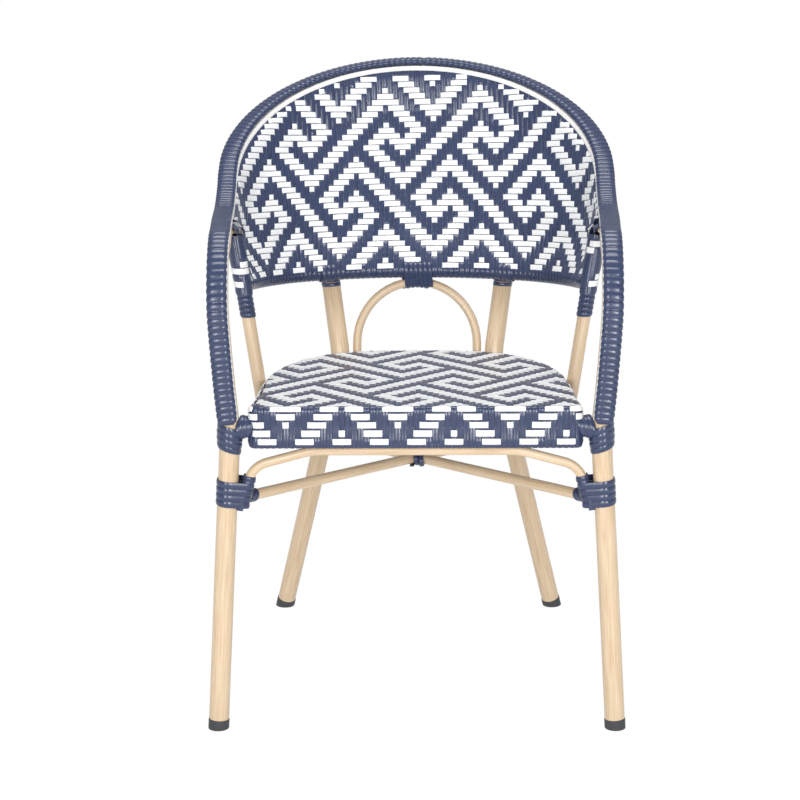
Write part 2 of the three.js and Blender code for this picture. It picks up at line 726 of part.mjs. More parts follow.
function archRight() {
  const points = [v3(ARCH_HALF_SPAN, ARCH_FOOT_Y, ARCH_FOOT_HEIGHT)];
  const steps = 7;
  for (let i = 0; i <= steps; i++) {
    const a = (i / steps) * (Math.PI / 2);
    points.push(v3(ARCH_HALF_SPAN * Math.cos(a), 0, ARCH_SPRING_HEIGHT + ARCH_RISE * Math.sin(a)));
  }
  points.forEach((p) => {
    p.y = ARCH_FOOT_Y + ((RAIL_CENTRE_Y - ARCH_FOOT_Y) * (p.z - ARCH_FOOT_HEIGHT)) / (ARCH_TOP - ARCH_FOOT_HEIGHT);
  });
  return points;
}

const archHalf = archRight();
const archPoints = [...archHalf, ...archHalf.slice(0, -1).reverse().map(mirrored)];
add("back_arch", tube(archPoints, ARCH_R, ARCH_WALL, 8, acrossHint), BAMBOO);

// Windings on the rail: one over the arch's top, and one in front of each rear upright
const railBow = (length) => (length * length) / (8 * RAIL_BACK_R);
const archTurn = windingLength(ARCH_LASHING_TURNS, NARROW_STRIP);
const archTopCurve = (ARCH_HALF_SPAN * ARCH_HALF_SPAN) / ARCH_RISE;
const archLashing = {
  origin: v3(-archTurn / 2, RAIL_CENTRE_Y - railBow(archTurn) / 2, RAIL_CENTRE_HEIGHT),
  axis: v3(1, 0, 0),
  u: v3(0, 0, -1),
  turns: ARCH_LASHING_TURNS,
  width: NARROW_STRIP,
  start: 9,
  belt: (along) => {
    const off = Math.abs(along - archTurn / 2) + NARROW_STRIP / 2;
    return [
      { radius: WRAPPED_R + railBow(archTurn + NARROW_STRIP), place: 0 },
      { radius: ARCH_R + GAP, place: RAIL_CENTRE_HEIGHT - ARCH_TOP + (off * off) / (2 * archTopCurve) },
    ];
  },
};
winding("arch_lashing", archLashing);

const postTurn = windingLength(POST_LASHING_TURNS, NARROW_STRIP);
const railAngle = Math.asin(uprightAtRail.x / RAIL_BACK_R);
const roundTube = (radius) => () => [{ radius, place: 0 }, { radius, place: 0 }];
const postLashings = SIDES.map(([, sign]) => {
  const axis = v3(sign * Math.cos(railAngle), -Math.sin(railAngle), 0);
  const centre = v3(
    sign * uprightAtRail.x,
    RAIL_CENTRE_Y - railBackDrop(uprightAtRail.x) - railBow(postTurn) / 2,
    RAIL_CENTRE_HEIGHT,
  );
  return {
    origin: centre.addScaledVector(axis, -postTurn / 2),
    axis,
    u: v3(0, 0, 1),
    turns: POST_LASHING_TURNS,
    width: NARROW_STRIP,
    start: TURN_STEPS / 2,
    belt: roundTube(WRAPPED_R + railBow(postTurn + NARROW_STRIP)),
  };
});
SIDES.forEach(([side], i) => winding(`post_lashing_${side}`, postLashings[i]));

// Windings on the side posts, under the woven back
SIDES.forEach(([side, sign]) => {
  const place = (height) => sidePostLine(sign, postShare(height))[0];
  const length = windingLength(SIDE_LASHING_TURNS, NARROW_STRIP);
  const low = place(SIDE_LASHING_HEIGHT + NARROW_STRIP / 2);
  const axis = place(SIDE_LASHING_HEIGHT + length).sub(low).normalize();
  winding(`side_lashing_${side}`, {
    origin: low,
    axis,
    u: v3(0, 1, 0).addScaledVector(axis, -axis.y).normalize(),
    turns: SIDE_LASHING_TURNS,
    width: NARROW_STRIP,
    belt: roundTube(POST_R + GAP),
  });
});

// The woven back: a ruled sheet from the rail to the hoop, with sleeves round the tubes
function pointAtShare(points, share) {
  const lengths = [0];
  for (let i = 1; i < points.length; i++) lengths.push(lengths[i - 1] + points[i].distanceTo(points[i - 1]));
  const target = share * lengths[lengths.length - 1];
  let i = 1;
  while (i < points.length - 1 && lengths[i] < target) i++;
  const part = (target - lengths[i - 1]) / (lengths[i] - lengths[i - 1]);
  return points[i - 1].clone().lerp(points[i], part);
}

const onSheet = (p) => p.y > SIDE_POST_TOP_AT.y && p.z > CORNER_HEIGHT;
const SHEET_TOP = [...HOOP_RIGHT.slice().reverse().filter(onSheet), SIDE_POST_TOP_AT];
const FAN_SHARE = 0.085;

function sheetPoint(share, height) {
  const size = Math.abs(share);
  const foot = pointAtShare(RAIL_RIGHT, size);
  const top = pointAtShare(SHEET_TOP, size - FAN_SHARE * Math.sin(Math.PI * size));
  const p = foot.lerp(top, height);
  return share < 0 ? mirrored(p) : p;
}

function sheetNormal(share, height) {
  const small = 0.01;
  const across = sheetPoint(share + small, height).sub(sheetPoint(share - small, height));
  const up = sheetPoint(share, 1).sub(sheetPoint(share, 0));
  return across.cross(up).normalize();
}

function backSheet() {
  const columns = 26;
  const rings = [];
  const corners = [[0, -1], [1, -1], [1, 1], [0, 1]];
  for (let i = 0; i <= columns; i++) {
    const share = -1 + (2 * i) / columns;
    rings.push(
      corners.map(([height, face]) =>
        sheetPoint(share, height).addScaledVector(sheetNormal(share * 0.99, height), (face * WEAVE_SHEET) / 2),
      ),
    );
  }
  return solid(skin(rings));
}

const hoopSleeve = solid(sweep(hoopFrames.filter((f) => onSheet(f.p)), circle(LEG_R + GAP + WEAVE_WRAP, HOOP_SIDES)));
const sleeveFoot = postShare(RAIL_END_HEIGHT - WRAPPED_R);
const capRoom = [
  new THREE.Vector2(STRIP_WIDTH / 2 + 1, LEG_R / 3),
  new THREE.Vector2(-STRIP_WIDTH / 2 - 1, LEG_R / 3),
  new THREE.Vector2(-STRIP_WIDTH / 2 - 1, CAP_TOP),
  new THREE.Vector2(STRIP_WIDTH / 2 + 1, CAP_TOP),
];
let backWeave = backSheet();
[archLashing, ...postLashings].forEach((lashing) => {
  backWeave = backWeave.subtract(windingRoom(lashing));
});
[
  hoopSleeve,
  rod(railPoints, WRAPPED_R, RAIL_SIDES, levelSide),
  ...SIDES.map(([, sign]) => rod(sidePostLine(sign, sleeveFoot, 0.95), WRAPPED_R)),
].forEach((sleeve) => {
  backWeave = backWeave.add(sleeve);
});
[
  hoopClearance,
  rod(extended(railPoints, OVERRUN), POST_R + GAP, RAIL_SIDES, levelSide),
  bothPosts,
  solid(sweep(hoopFrames, capRoom)),
  ...rearClearance,
].forEach((cut) => {
  backWeave = backWeave.subtract(cut);
});
add("back_weave", geometryOf(largest(backWeave)), NAVY);

// The front brace: level under the apron, falling towards the legs, its ends bent down beside them
const BRACE_INSET = LEG_R + GAP + BRACE_R;
const BRACE_HEIGHT = seatTop(BRACE_R) - APRON_HEIGHT - GAP - BRACE_R;

// The arc that rounds the corner of two straight runs
function roundedCorner(before, corner, after, radius, steps) {
  const back = before.clone().sub(corner).normalize();
  const on = after.clone().sub(corner).normalize();
  const half = back.angleTo(on) / 2;
  const middle = corner.clone().addScaledVector(back.clone().add(on).normalize(), radius / Math.sin(half));
  const first = corner.clone().addScaledVector(back, radius / Math.tan(half)).sub(middle);
  const axis = first.clone().cross(corner.clone().addScaledVector(on, radius / Math.tan(half)).sub(middle)).normalize();
  const points = [];
  for (let i = 0; i <= steps; i++) {
    points.push(first.clone().applyAxisAngle(axis, ((Math.PI - 2 * half) * i) / steps).add(middle));
  }
  return points;
}

function braceRight() {
  const end = v3(legHalfWidth(BRACE_END_HEIGHT) - BRACE_INSET, 0, BRACE_END_HEIGHT);
  const level = v3(BRACE_LEVEL_HALF, 0, BRACE_HEIGHT);
  const fall = Math.tan(BRACE_SLOPE);
  const lean = Math.tan(BRACE_LEAN);
  const rise = (level.z - end.z - fall * (end.x - level.x)) / (1 - fall * lean);
  const elbow = v3(end.x - lean * rise, 0, end.z + rise);
  const endBend = roundedCorner(end, elbow, level, BRACE_END_BEND_R, 5);
  const topBend = roundedCorner(elbow, level, v3(0, 0, level.z), BRACE_TOP_BEND_R, 2);
  return [end, ...endBend, ...topBend];
}

const braceHalf = braceRight();
const bracePoints = [...braceHalf, ...braceHalf.slice().reverse().map(mirrored)];
add("front_brace", tube(bracePoints, BRACE_R, BRACE_WALL, 8, acrossHint), BAMBOO);

// Windings on the front legs: one that binds the brace, and one under the seat's corner
const legAxis = (sign) => v3((sign * (CORNER_HALF_WIDTH - FOOT_HALF_WIDTH)) / CORNER_HEIGHT, 0, 1).normalize();
const legAt = (sign, height) => v3(sign * legHalfWidth(height), 0, height);
const inwardFrom = (axis, sign) => v3(-sign * axis.z, 0, sign * axis.x);
const braceFromLeg = Math.tan(BRACE_LEAN) - (FOOT_HALF_WIDTH - CORNER_HALF_WIDTH) / CORNER_HEIGHT;
const legLashings = SIDES.map(([, sign]) => ({
  origin: legAt(sign, BRACE_END_HEIGHT + BROAD_STRIP / 2),
  axis: legAxis(sign),
  u: inwardFrom(legAxis(sign), sign),
  turns: LEG_LASHING_TURNS,
  width: BROAD_STRIP,
  belt: (along) => [
    { radius: LEG_R, place: 0 },
    { radius: BRACE_R + GAP, place: BRACE_INSET + (along + BROAD_STRIP) * braceFromLeg },
  ],
}));
const cornerLashingRoom = windingLength(CORNER_LASHING_TURNS, BROAD_STRIP) + BROAD_STRIP / 2;
const cornerLashingStart = STUB_HEIGHT - POST_R - 2 * GAP - cornerLashingRoom;
SIDES.forEach(([side, sign], i) => {
  winding(`leg_lashing_${side}`, legLashings[i]);
  winding(`corner_lashing_${side}`, {
    origin: legAt(sign, cornerLashingStart),
    axis: legAxis(sign),
    u: inwardFrom(legAxis(sign), sign),
    turns: CORNER_LASHING_TURNS,
    width: BROAD_STRIP,
    start: 5,
    belt: roundTube(LEG_R + 2 * GAP),
  });
});

// Crossed stretchers from the front lashings to the rear legs: one whole, one in two halves
function stretcherEnds(sign) {
  const front = v3(sign * (legHalfWidth(STRETCHER_FRONT_HEIGHT) - STRETCHER_AIM), 0, STRETCHER_FRONT_HEIGHT);
  const line = rearLine(-sign);
  const share = (STRETCHER_REAR_HEIGHT - line[0].z) / (line[1].z - line[0].z);
  return [front, line[0].clone().lerp(line[1], share)];
}

const STRETCHER_SIDES = 12;
const stretcherCuts = [...legLashings.map(windingRoom), ...rearClearance];
const cutBack = (body, cuts) => cuts.reduce((left, cut) => left.subtract(cut), body);
const throughEnds = stretcherEnds(-1);
const halfEnds = stretcherEnds(1);
const crossing = throughEnds[0].clone().lerp(throughEnds[1], throughEnds[0].x / (throughEnds[0].x - throughEnds[1].x));
const throughRoom = rod(throughEnds, STRETCHER_R + GAP, STRETCHER_SIDES);
const through = solid(tube(throughEnds, STRETCHER_R, STRETCHER_WALL, STRETCHER_SIDES));
add("stretcher_through", geometryOf(largest(cutBack(through, stretcherCuts))), BAMBOO);
[["front", halfEnds[0]], ["rear", halfEnds[1]]].forEach(([name, end]) => {
  const half = solid(tube([end, crossing], STRETCHER_R, STRETCHER_WALL, STRETCHER_SIDES));
  add(`stretcher_half_${name}`, geometryOf(largest(cutBack(half, [...stretcherCuts, throughRoom]))), BAMBOO);
});

// Windings on the stretchers: a cuff near each front end, and one over the crossing
SIDES.forEach(([side], i) => {
  const [front, rear] = i === 0 ? throughEnds : halfEnds;
  const axis = rear.clone().sub(front).normalize();
  winding(`stretcher_cuff_${side}`, {
    origin: front.clone().addScaledVector(axis, CUFF_START),
    axis,
    u: v3(0, 0, 1).addScaledVector(axis, -axis.z).normalize(),
    turns: CUFF_TURNS,
    width: NARROW_STRIP,
    belt: roundTube(STRETCHER_R),
  });
});
const crossTurn = windingLength(STRETCHER_LASHING_TURNS, NARROW_STRIP);
const crossAxis = throughEnds[1].clone().sub(throughEnds[0]).normalize();
winding("stretcher_lashing", {
  origin: v3(-crossTurn / 2, crossing.y, crossing.z),
  axis: v3(1, 0, 0),
  u: v3(0, 1, 0),
  turns: STRETCHER_LASHING_TURNS,
  width: NARROW_STRIP,
  start: 2,
  belt: (along) => {
    const off = Math.abs(along - crossTurn / 2) + NARROW_STRIP / 2;
    const spread = (off * crossAxis.y + STRETCHER_R / 2) / crossAxis.x;
    return [
      { radius: STRETCHER_R + GAP, place: -spread },
      { radius: STRETCHER_R + GAP, place: spread },
    ];
  },
});

// Foot caps: a plug with a spigot in the tube, cut level at the floor
function footCap(name, tubeEnd, along) {
  const outer = rod([tubeEnd.clone().addScaledVector(along, -2 * CAP_HEIGHT), tubeEnd.clone().addScaledVector(along, -GAP)], LEG_R + CAP_PROUD);
  const spigotR = (LEG_R - LEG_WALL) * Math.cos(Math.PI / HOOP_SIDES) - SPIGOT_PLAY;
  const spigot = rod([tubeEnd.clone().addScaledVector(along, -1), tubeEnd.clone().addScaledVector(along, SPIGOT_LENGTH)], spigotR);
  add(name, geometryOf(outer.add(spigot).trimByPlane([0, 0, 1], 0)), RUBBER);
}

SIDES.forEach(([side, sign]) => {
  footCap(`foot_cap_front_${side}`, legAt(sign, CAP_HEIGHT), legAxis(sign));
  const [end, next] = rearLine(sign);
  footCap(`foot_cap_rear_${side}`, end, next.clone().sub(end).normalize());
});

// The middle of the footprint's box goes to the origin
const box = new THREE.Box3().setFromObject(chair);
const middleY = (box.min.y + box.max.y) / 2;
chair.children.forEach((mesh) => mesh.geometry.translate(0, -middleY, -box.min.z));

export default chair;
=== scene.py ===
import math

import bpy
import numpy as np
from mathutils import Matrix, Vector


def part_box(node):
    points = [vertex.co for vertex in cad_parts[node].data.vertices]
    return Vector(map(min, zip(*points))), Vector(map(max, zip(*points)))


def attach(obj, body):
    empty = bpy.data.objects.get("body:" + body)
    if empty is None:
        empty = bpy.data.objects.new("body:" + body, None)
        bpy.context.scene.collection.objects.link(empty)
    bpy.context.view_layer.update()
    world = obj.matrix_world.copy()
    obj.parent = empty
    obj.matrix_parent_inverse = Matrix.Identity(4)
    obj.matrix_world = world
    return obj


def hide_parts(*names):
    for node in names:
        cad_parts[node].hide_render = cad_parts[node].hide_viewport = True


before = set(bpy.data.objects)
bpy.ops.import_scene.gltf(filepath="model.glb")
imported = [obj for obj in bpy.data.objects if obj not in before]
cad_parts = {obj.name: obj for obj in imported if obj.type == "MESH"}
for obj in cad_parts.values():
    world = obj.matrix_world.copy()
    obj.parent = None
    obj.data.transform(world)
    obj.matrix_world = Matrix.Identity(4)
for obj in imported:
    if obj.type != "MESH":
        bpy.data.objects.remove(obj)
bpy.ops.object.select_all(action="DESELECT")
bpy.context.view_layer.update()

# Sizes are millimetres, drawn from the floor midway between the front feet, as the chair's solids are.
low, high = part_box("foot_cap_front_left")
MIDDLE_Y = -(low.y + high.y) / 2 * 1000

LEG_R = 14
POST_R = 9.5
ARCH_R = 6.5
BRACE_R = 6.5
STRETCHER_R = 7.5
GAP = 0.35
WRAPPED_R = POST_R + GAP + 2.3
CAP_HEIGHT = 15
SEAT_HEIGHT = 463
SEAT_SLOPE = math.tan(math.radians(1.9))
BRACE_LEAN = math.tan(math.radians(14))

UP = np.array((0.0, 0.0, 1.0))
ACROSS = np.array((1.0, 0.0, 0.0))
BACKWARD = np.array((0, 1, 0))
MIRROR = np.array((-1.0, 1.0, 1.0))
SIDES = (("left", -1), ("right", 1))


def point(x, y, z):
    return np.array((x, y, z), float)


def unit(v):
    v = np.asarray(v, float)
    return v / np.maximum(np.linalg.norm(v, axis=-1, keepdims=True), 1e-9)


def read_at(table, distances, at):
    """A table's rows at distances along it."""
    return np.stack([np.interp(at, distances, table[:, k]) for k in range(table.shape[1])], -1)


# The camera


def set_camera():
    """The view that the photograph was taken from, in metres and degrees."""
    data = bpy.data.cameras.new("camera")
    data.sensor_width = 36
    data.lens = 103.53
    camera = bpy.data.objects.new("camera", data)
    bpy.context.scene.collection.objects.link(camera)
    turn = Matrix.Rotation(math.radians(0.786), 4, "Z")
    tip = Matrix.Rotation(math.radians(90 - 13.706), 4, "X")
    roll = Matrix.Rotation(math.radians(-0.325), 4, "Z")
    place = Matrix.Translation((0.020559, -3.005431 - MIDDLE_Y / 1000, 1.202787))
    camera.matrix_world = place @ turn @ tip @ roll
    bpy.context.scene.camera = camera


set_camera()


# The finishes


def cleared_tree(owner):
    owner.use_nodes = True
    owner.node_tree.nodes.clear()
    return owner.node_tree


def finish(name):
    material = bpy.data.materials.new(name)
    tree = cleared_tree(material)
    out = tree.nodes.new("ShaderNodeOutputMaterial")
    shader = tree.nodes.new("ShaderNodeBsdfPrincipled")
    tree.links.new(shader.outputs[0], out.inputs["Surface"])
    return material, tree, shader


def node(tree, kind, **values):
    made = tree.nodes.new(kind)
    for key, value in values.items():
        if key in made.inputs:
            made.inputs[key].default_value = value
        else:
            setattr(made, key, value)
    return made


def streaks(tree, source, scale, detail, roughness=0.55):
    """Noise drawn out along the strip or tube."""
    where = node(tree, "ShaderNodeMapping")
    where.inputs["Scale"].default_value = scale
    tree.links.new(source, where.inputs["Vector"])
    noise = node(tree, "ShaderNodeTexNoise", Scale=1.0, Detail=detail, Roughness=roughness)
    tree.links.new(where.outputs[0], noise.inputs["Vector"])
    return noise.outputs["Fac"]


def ramp(tree, source, stops):
    made = tree.nodes.new("ShaderNodeValToRGB")
    while len(made.color_ramp.elements) < len(stops):
        made.color_ramp.elements.new(0.5)
    for element, (place, colour) in zip(made.color_ramp.elements, stops):
        element.position = place
        element.color = (*colour, 1)
    tree.links.new(source, made.inputs["Fac"])
    return made.outputs["Color"]


def spread(tree, source, low, high):
    made = tree.nodes.new("ShaderNodeMapRange")
    made.inputs["To Min"].default_value = low
    made.inputs["To Max"].default_value = high
    tree.links.new(source, made.inputs["Value"])
    return made.outputs["Result"]


def bump(tree, shader, source, strength, distance):
    made = node(tree, "ShaderNodeBump", Strength=strength, Distance=distance)
    tree.links.new(source, made.inputs["Height"])
    tree.links.new(made.outputs[0], shader.inputs["Normal"])


def bamboo_print(name, laid_along=True):
    """Pale bamboo grain printed on aluminium tube: fine lines that run with the tube."""
    material, tree, shader = finish(name)
    place = tree.nodes.new("ShaderNodeTexCoord")
    source = place.outputs["UV" if laid_along else "Object"]
    scale = (1.0, 1.0, 1.0) if laid_along else (1.0, 1.0, 0.03)
    lines = streaks(tree, source, tuple(s * k for s, k in zip(scale, (520, 14, 520))), 4)
    clouds = streaks(tree, source, tuple(s * k for s, k in zip(scale, (60, 4, 60))), 2)
    fine = ramp(tree, lines, [
        (0.28, (0.60, 0.425, 0.255)),
        (0.5, (0.745, 0.575, 0.39)),
        (0.72, (0.82, 0.665, 0.485)),
    ])
    broad = ramp(tree, clouds, [(0.3, (0.86, 0.83, 0.79)), (0.7, (1.0, 1.0, 1.0))])
    blend = node(tree, "ShaderNodeMix", data_type="RGBA", blend_type="MULTIPLY")
    blend.inputs["Factor"].default_value = 0.8
    tree.links.new(fine, blend.inputs["A"])
    tree.links.new(broad, blend.inputs["B"])
    tree.links.new(blend.outputs["Result"], shader.inputs["Base Color"])
    tree.links.new(spread(tree, lines, 0.4, 0.27), shader.inputs["Roughness"])
    shader.inputs["Coat Weight"].default_value = 0.15
    shader.inputs["Coat Roughness"].default_value = 0.3
    bump(tree, shader, lines, 0.12, 0.0004)
    return material


def strip_finish(name, dark, mid, light, rough, shine=0.5):
    """Flat synthetic strip with fine lines drawn along it."""
    material, tree, shader = finish(name)
    place = tree.nodes.new("ShaderNodeTexCoord")
    lines = streaks(tree, place.outputs["UV"], (900, 26, 1), 5, 0.65)
    clouds = streaks(tree, place.outputs["UV"], (90, 12, 1), 2)
    colour = ramp(tree, lines, [(0.3, dark), (0.52, mid), (0.75, light)])
    tree.links.new(colour, shader.inputs["Base Color"])
    tree.links.new(spread(tree, clouds, rough - 0.05, rough + 0.08), shader.inputs["Roughness"])
    shader.inputs["Specular IOR Level"].default_value = shine
    bump(tree, shader, lines, 0.22, 0.0003)
    return material


def cap_plastic():
    material, tree, shader = finish("moulded_plastic")
    place = tree.nodes.new("ShaderNodeTexCoord")
    grain = streaks(tree, place.outputs["Object"], (1400, 1400, 1400), 3)
    colour = ramp(tree, grain, [(0.3, (0.035, 0.037, 0.042)), (0.7, (0.06, 0.063, 0.07))])
    tree.links.new(colour, shader.inputs["Base Color"])
    tree.links.new(spread(tree, grain, 0.5, 0.65), shader.inputs["Roughness"])
    bump(tree, shader, grain, 0.2, 0.0002)
    return material


BAMBOO = bamboo_print("bamboo_print")
BAMBOO_HIDDEN = bamboo_print("bamboo_print_inside", laid_along=False)
NAVY = strip_finish(
    "navy_strip", (0.015, 0.024, 0.070), (0.026, 0.042, 0.108), (0.060, 0.084, 0.165), 0.25, 0.7
)
WHITE = strip_finish("white_strip", (0.80, 0.82, 0.84), (0.86, 0.87, 0.88), (0.9, 0.9, 0.9), 0.42)
CREAM = strip_finish("cream_strip", (0.80, 0.79, 0.77), (0.86, 0.85, 0.83), (0.89, 0.88, 0.86), 0.45)
PLASTIC = cap_plastic()


# Laying strip and tube


class Bundle:
    """Closed runs of one material, gathered to be one piece.

    A run is rings of points in millimetres. A mirrored bundle lays them on the other side of the chair.
    """

    def __init__(self, mirror=False):
        self.mirror = mirror
        self.points, self.faces, self.places, self.count = [], [], [], 0

    def run(self, rings, across, along):
        rings = np.asarray(rings, float)
        if self.mirror:
            rings = rings * MIRROR
        n, m = rings.shape[:2]
        i = np.arange(n - 1)[:, None] * m
        j = np.arange(m)[None, :]
        k = (j + 1) % m
        quads = np.stack([i + j, i + k, i + m + k, i + m + j], -1).reshape(-1, 4)
        flat = rings.reshape(-1, 3)
        middle = flat.mean(0)
        a, b, c, d = (flat[quads[:, q]] - middle for q in range(4))
        first, last = rings[0] - middle, rings[-1] - middle
        volume = (np.cross(a, b) * c).sum() + (np.cross(a, c) * d).sum()
        volume -= (np.cross(first[0], first[1:-1]) * first[2:]).sum()
        volume += (np.cross(last[0], last[1:-1]) * last[2:]).sum()
        ends = [list(range(m))[::-1], list(range((n - 1) * m, n * m))]
        faces = [list(q) for q in quads] + ends
        across = np.asarray(across, float)
        along = np.asarray(along, float)
        u0, u1 = across[:-1], across[1:]
        v0, v1 = along[:-1], along[1:]
        corners = [
            np.stack(np.broadcast_arrays(u[None, :], v[:, None]), -1)
            for u, v in ((u0, v0), (u1, v0), (u1, v1), (u0, v1))
        ]
        uv = np.stack(corners, 2).reshape(-1, 4, 2)
        places = [list(map(tuple, q)) for q in uv]
        places.append([(across[q], along[0]) for q in range(m)][::-1])
        places.append([(across[q], along[-1]) for q in range(m)])
        if volume < 0:
            faces = [f[::-1] for f in faces]
            places = [p[::-1] for p in places]
        self.points.append(flat)
        self.faces += [[v + self.count for v in f] for f in faces]
        self.places += places
        self.count += len(flat)

    def piece(self, name, material, replaces, slot, angle):
        mesh = bpy.data.meshes.new(name)
        flat = np.concatenate(self.points)
        flat = (flat - (0, MIDDLE_Y, 0)) / 1000
        mesh.from_pydata(flat.tolist(), [], self.faces)
        layer = mesh.uv_layers.new(name="UVMap")
        values = np.array([c for face in self.places for c in face], np.float32) / 1000
        layer.data.foreach_set("uv", values.ravel())
        mesh.materials.append(material)
        obj = bpy.data.objects.new(name, mesh)
        bpy.context.scene.collection.objects.link(obj)
        dress(obj, replaces, angle)


def dress(obj, replaces, angle):
    """Smooths a finished piece, hangs it under the root, and hides the node it takes the place of."""
    bpy.ops.object.select_all(action="DESELECT")
    obj.select_set(True)
    bpy.context.view_layer.objects.active = obj
    bpy.ops.object.shade_smooth_by_angle(angle=math.radians(angle))
    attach(obj, "root")
    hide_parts(*replaces)


def in_navy(bundle, name, node_name):
    bundle.piece(name, NAVY, [node_name], "navy_strip", 60)


def in_white(bundle, name, node_name):
    bundle.piece(name, WHITE, [node_name], "white_strip", 60)


def lengths(points):
    return np.concatenate([[0], np.cumsum(np.linalg.norm(np.diff(points, axis=0), axis=1))])


def blend(p, q, start, stop, t):
    return (stop - t) / (stop - start) * p + (t - start) / (stop - start) * q


def smooth(points, per_span):
    """A centripetal curve through points."""
    points = [np.asarray(p, float) for p in points]
    ends = [2 * points[0] - points[1], *points, 2 * points[-1] - points[-2]]
    made = []
    for a, b, c, d in zip(ends, ends[1:], ends[2:], ends[3:]):
        t0 = 0.0
        t1 = t0 + max(np.linalg.norm(b - a), 1e-6) ** 0.5
        t2 = t1 + max(np.linalg.norm(c - b), 1e-6) ** 0.5
        t3 = t2 + max(np.linalg.norm(d - c), 1e-6) ** 0.5
        for t in np.linspace(t1, t2, per_span, endpoint=False):
            a1 = blend(a, b, t0, t1, t)
            a2 = blend(b, c, t1, t2, t)
            a3 = blend(c, d, t2, t3, t)
            b1 = blend(a1, a2, t0, t2, t)
            b2 = blend(a2, a3, t1, t3, t)
            made.append(blend(b1, b2, t1, t2, t))
    made.append(points[-1])
    return np.array(made)


def tangents(points):
    ahead = np.roll(points, -1, axis=0)
    behind = np.roll(points, 1, axis=0)
    ahead[-1], behind[0] = points[-1], points[0]
    return unit(ahead - behind)


def carried_sides(points, first):
    """Sideways directions carried along a path without twist."""
    t = tangents(points)
    side = unit(first - t[0] * (first @ t[0]))
    made = [side]
    for way in t[1:]:
        side = unit(side - way * (side @ way))
        made.append(side)
    return np.array(made), t


def tube(name, node_name, points, radius, sides, first=UP, mirror=False, rounded=0.0):
    """A piece of bamboo-printed tube along points."""
    points = np.asarray(points, float)
    if abs(unit(points[1] - points[0]) @ unit(first)) > 0.95:
        first = ACROSS
    side, t = carried_sides(points, np.asarray(first, float))
    other = np.cross(t, side)
    angles = np.linspace(0, 2 * math.pi, sides, endpoint=False)
    ring = side[:, None] * np.cos(angles)[None, :, None] + other[:, None] * np.sin(angles)[None, :, None]
    rings = points[:, None] + ring * float(radius)
    if rounded:
        start = points[0] - t[0] * rounded + ring[0] * (radius - rounded)
        stop = points[-1] + t[-1] * rounded + ring[-1] * (radius - rounded)
        rings = np.concatenate([[start], rings, [stop]])
    along = lengths(rings.mean(1))
    bundle = Bundle(mirror)
    bundle.run(rings, np.arange(sides + 1) / sides * 2 * math.pi * radius, along)
    bundle.piece(name, BAMBOO, [node_name], "bamboo_tube", 38)


# The hoop: legs, arms and back

FOOT_HALF_WIDTH, CORNER_HALF_WIDTH, CORNER_HEIGHT = 276, 250.5, 430
ARM_HALF_WIDTH, HOOP_HALF_WIDTH, ARM_HEIGHT = 265, 277, 666
ARM_BEND_R, ARM_FLAT_END, HOOP_BEND_R = 80, 238, 220
HOOP_PITCH, HOOP_DEPTH = math.radians(35), 247
HOOP_START_Y = ARM_FLAT_END + HOOP_BEND_R * math.sin(HOOP_PITCH)
HOOP_START_HEIGHT = ARM_HEIGHT + HOOP_BEND_R * (1 - math.cos(HOOP_PITCH))


def leg_half_width(z):
    return FOOT_HALF_WIDTH + (CORNER_HALF_WIDTH - FOOT_HALF_WIDTH) * z / CORNER_HEIGHT


def arm_half_width(y):
    share = (y - ARM_BEND_R) / (HOOP_START_Y - ARM_BEND_R)
    return ARM_HALF_WIDTH + (HOOP_HALF_WIDTH - ARM_HALF_WIDTH) * math.sin(share * math.pi / 2)


def hoop_right():
    """The right half of the hoop's line, from its foot to the top of the back."""
    heights = (CAP_HEIGHT, 0.6 * CORNER_HEIGHT, 0.95 * CORNER_HEIGHT)
    points = [point(leg_half_width(z), 0, z) for z in heights]
    bend_start = ARM_HEIGHT - ARM_BEND_R
    spread_out = (ARM_HALF_WIDTH - CORNER_HALF_WIDTH) * 0.8
    for s in (0.06, 0.4, 1):
        z = CORNER_HEIGHT + (bend_start - CORNER_HEIGHT) * s
        points.append(point(CORNER_HALF_WIDTH + spread_out * s ** 0.8, 0, z))
    elbow_x = CORNER_HALF_WIDTH + spread_out
    for i in range(1, 7):
        a = i / 6 * math.pi / 2
        x = elbow_x + (ARM_HALF_WIDTH - elbow_x) * i / 6
        points.append(point(x, ARM_BEND_R * (1 - math.cos(a)), bend_start + ARM_BEND_R * math.sin(a)))
    for i in (1, 2):
        y = ARM_BEND_R + (ARM_FLAT_END - ARM_BEND_R) * i / 2
        points.append(point(arm_half_width(y), y, ARM_HEIGHT))
    for i in (1, 2, 3):
        a = i / 4 * HOOP_PITCH
        y = ARM_FLAT_END + HOOP_BEND_R * math.sin(a)
        points.append(point(arm_half_width(y), y, ARM_HEIGHT + HOOP_BEND_R * (1 - math.cos(a))))
    for i in range(11):
        a = i / 10 * math.pi / 2
        along = HOOP_DEPTH * math.sin(a)
        z = HOOP_START_HEIGHT + along * math.sin(HOOP_PITCH)
        points.append(point(HOOP_HALF_WIDTH * math.cos(a), HOOP_START_Y + along * math.cos(HOOP_PITCH), z))
    return points


hoop_half = hoop_right()
hoop_whole = hoop_half + [p * MIRROR for p in hoop_half[-2::-1]]
HOOP = smooth(hoop_whole, 8)
HOOP_T = tangents(HOOP)
HOOP_S = lengths(HOOP)


def hoop_frames():
    steep = np.abs(HOOP_T[:, 2]) ** 4
    turn = np.where(HOOP_T[:, 2] >= 0, 1.0, -1.0)
    side = unit(np.stack([HOOP_T[:, 1] + turn * steep, -HOOP_T[:, 0] * (1 - steep), np.zeros(len(HOOP))], -1))
    out = unit(np.cross(side, HOOP_T))
    return unit(np.cross(HOOP_T, out)), out


HOOP_B, HOOP_N = hoop_frames()


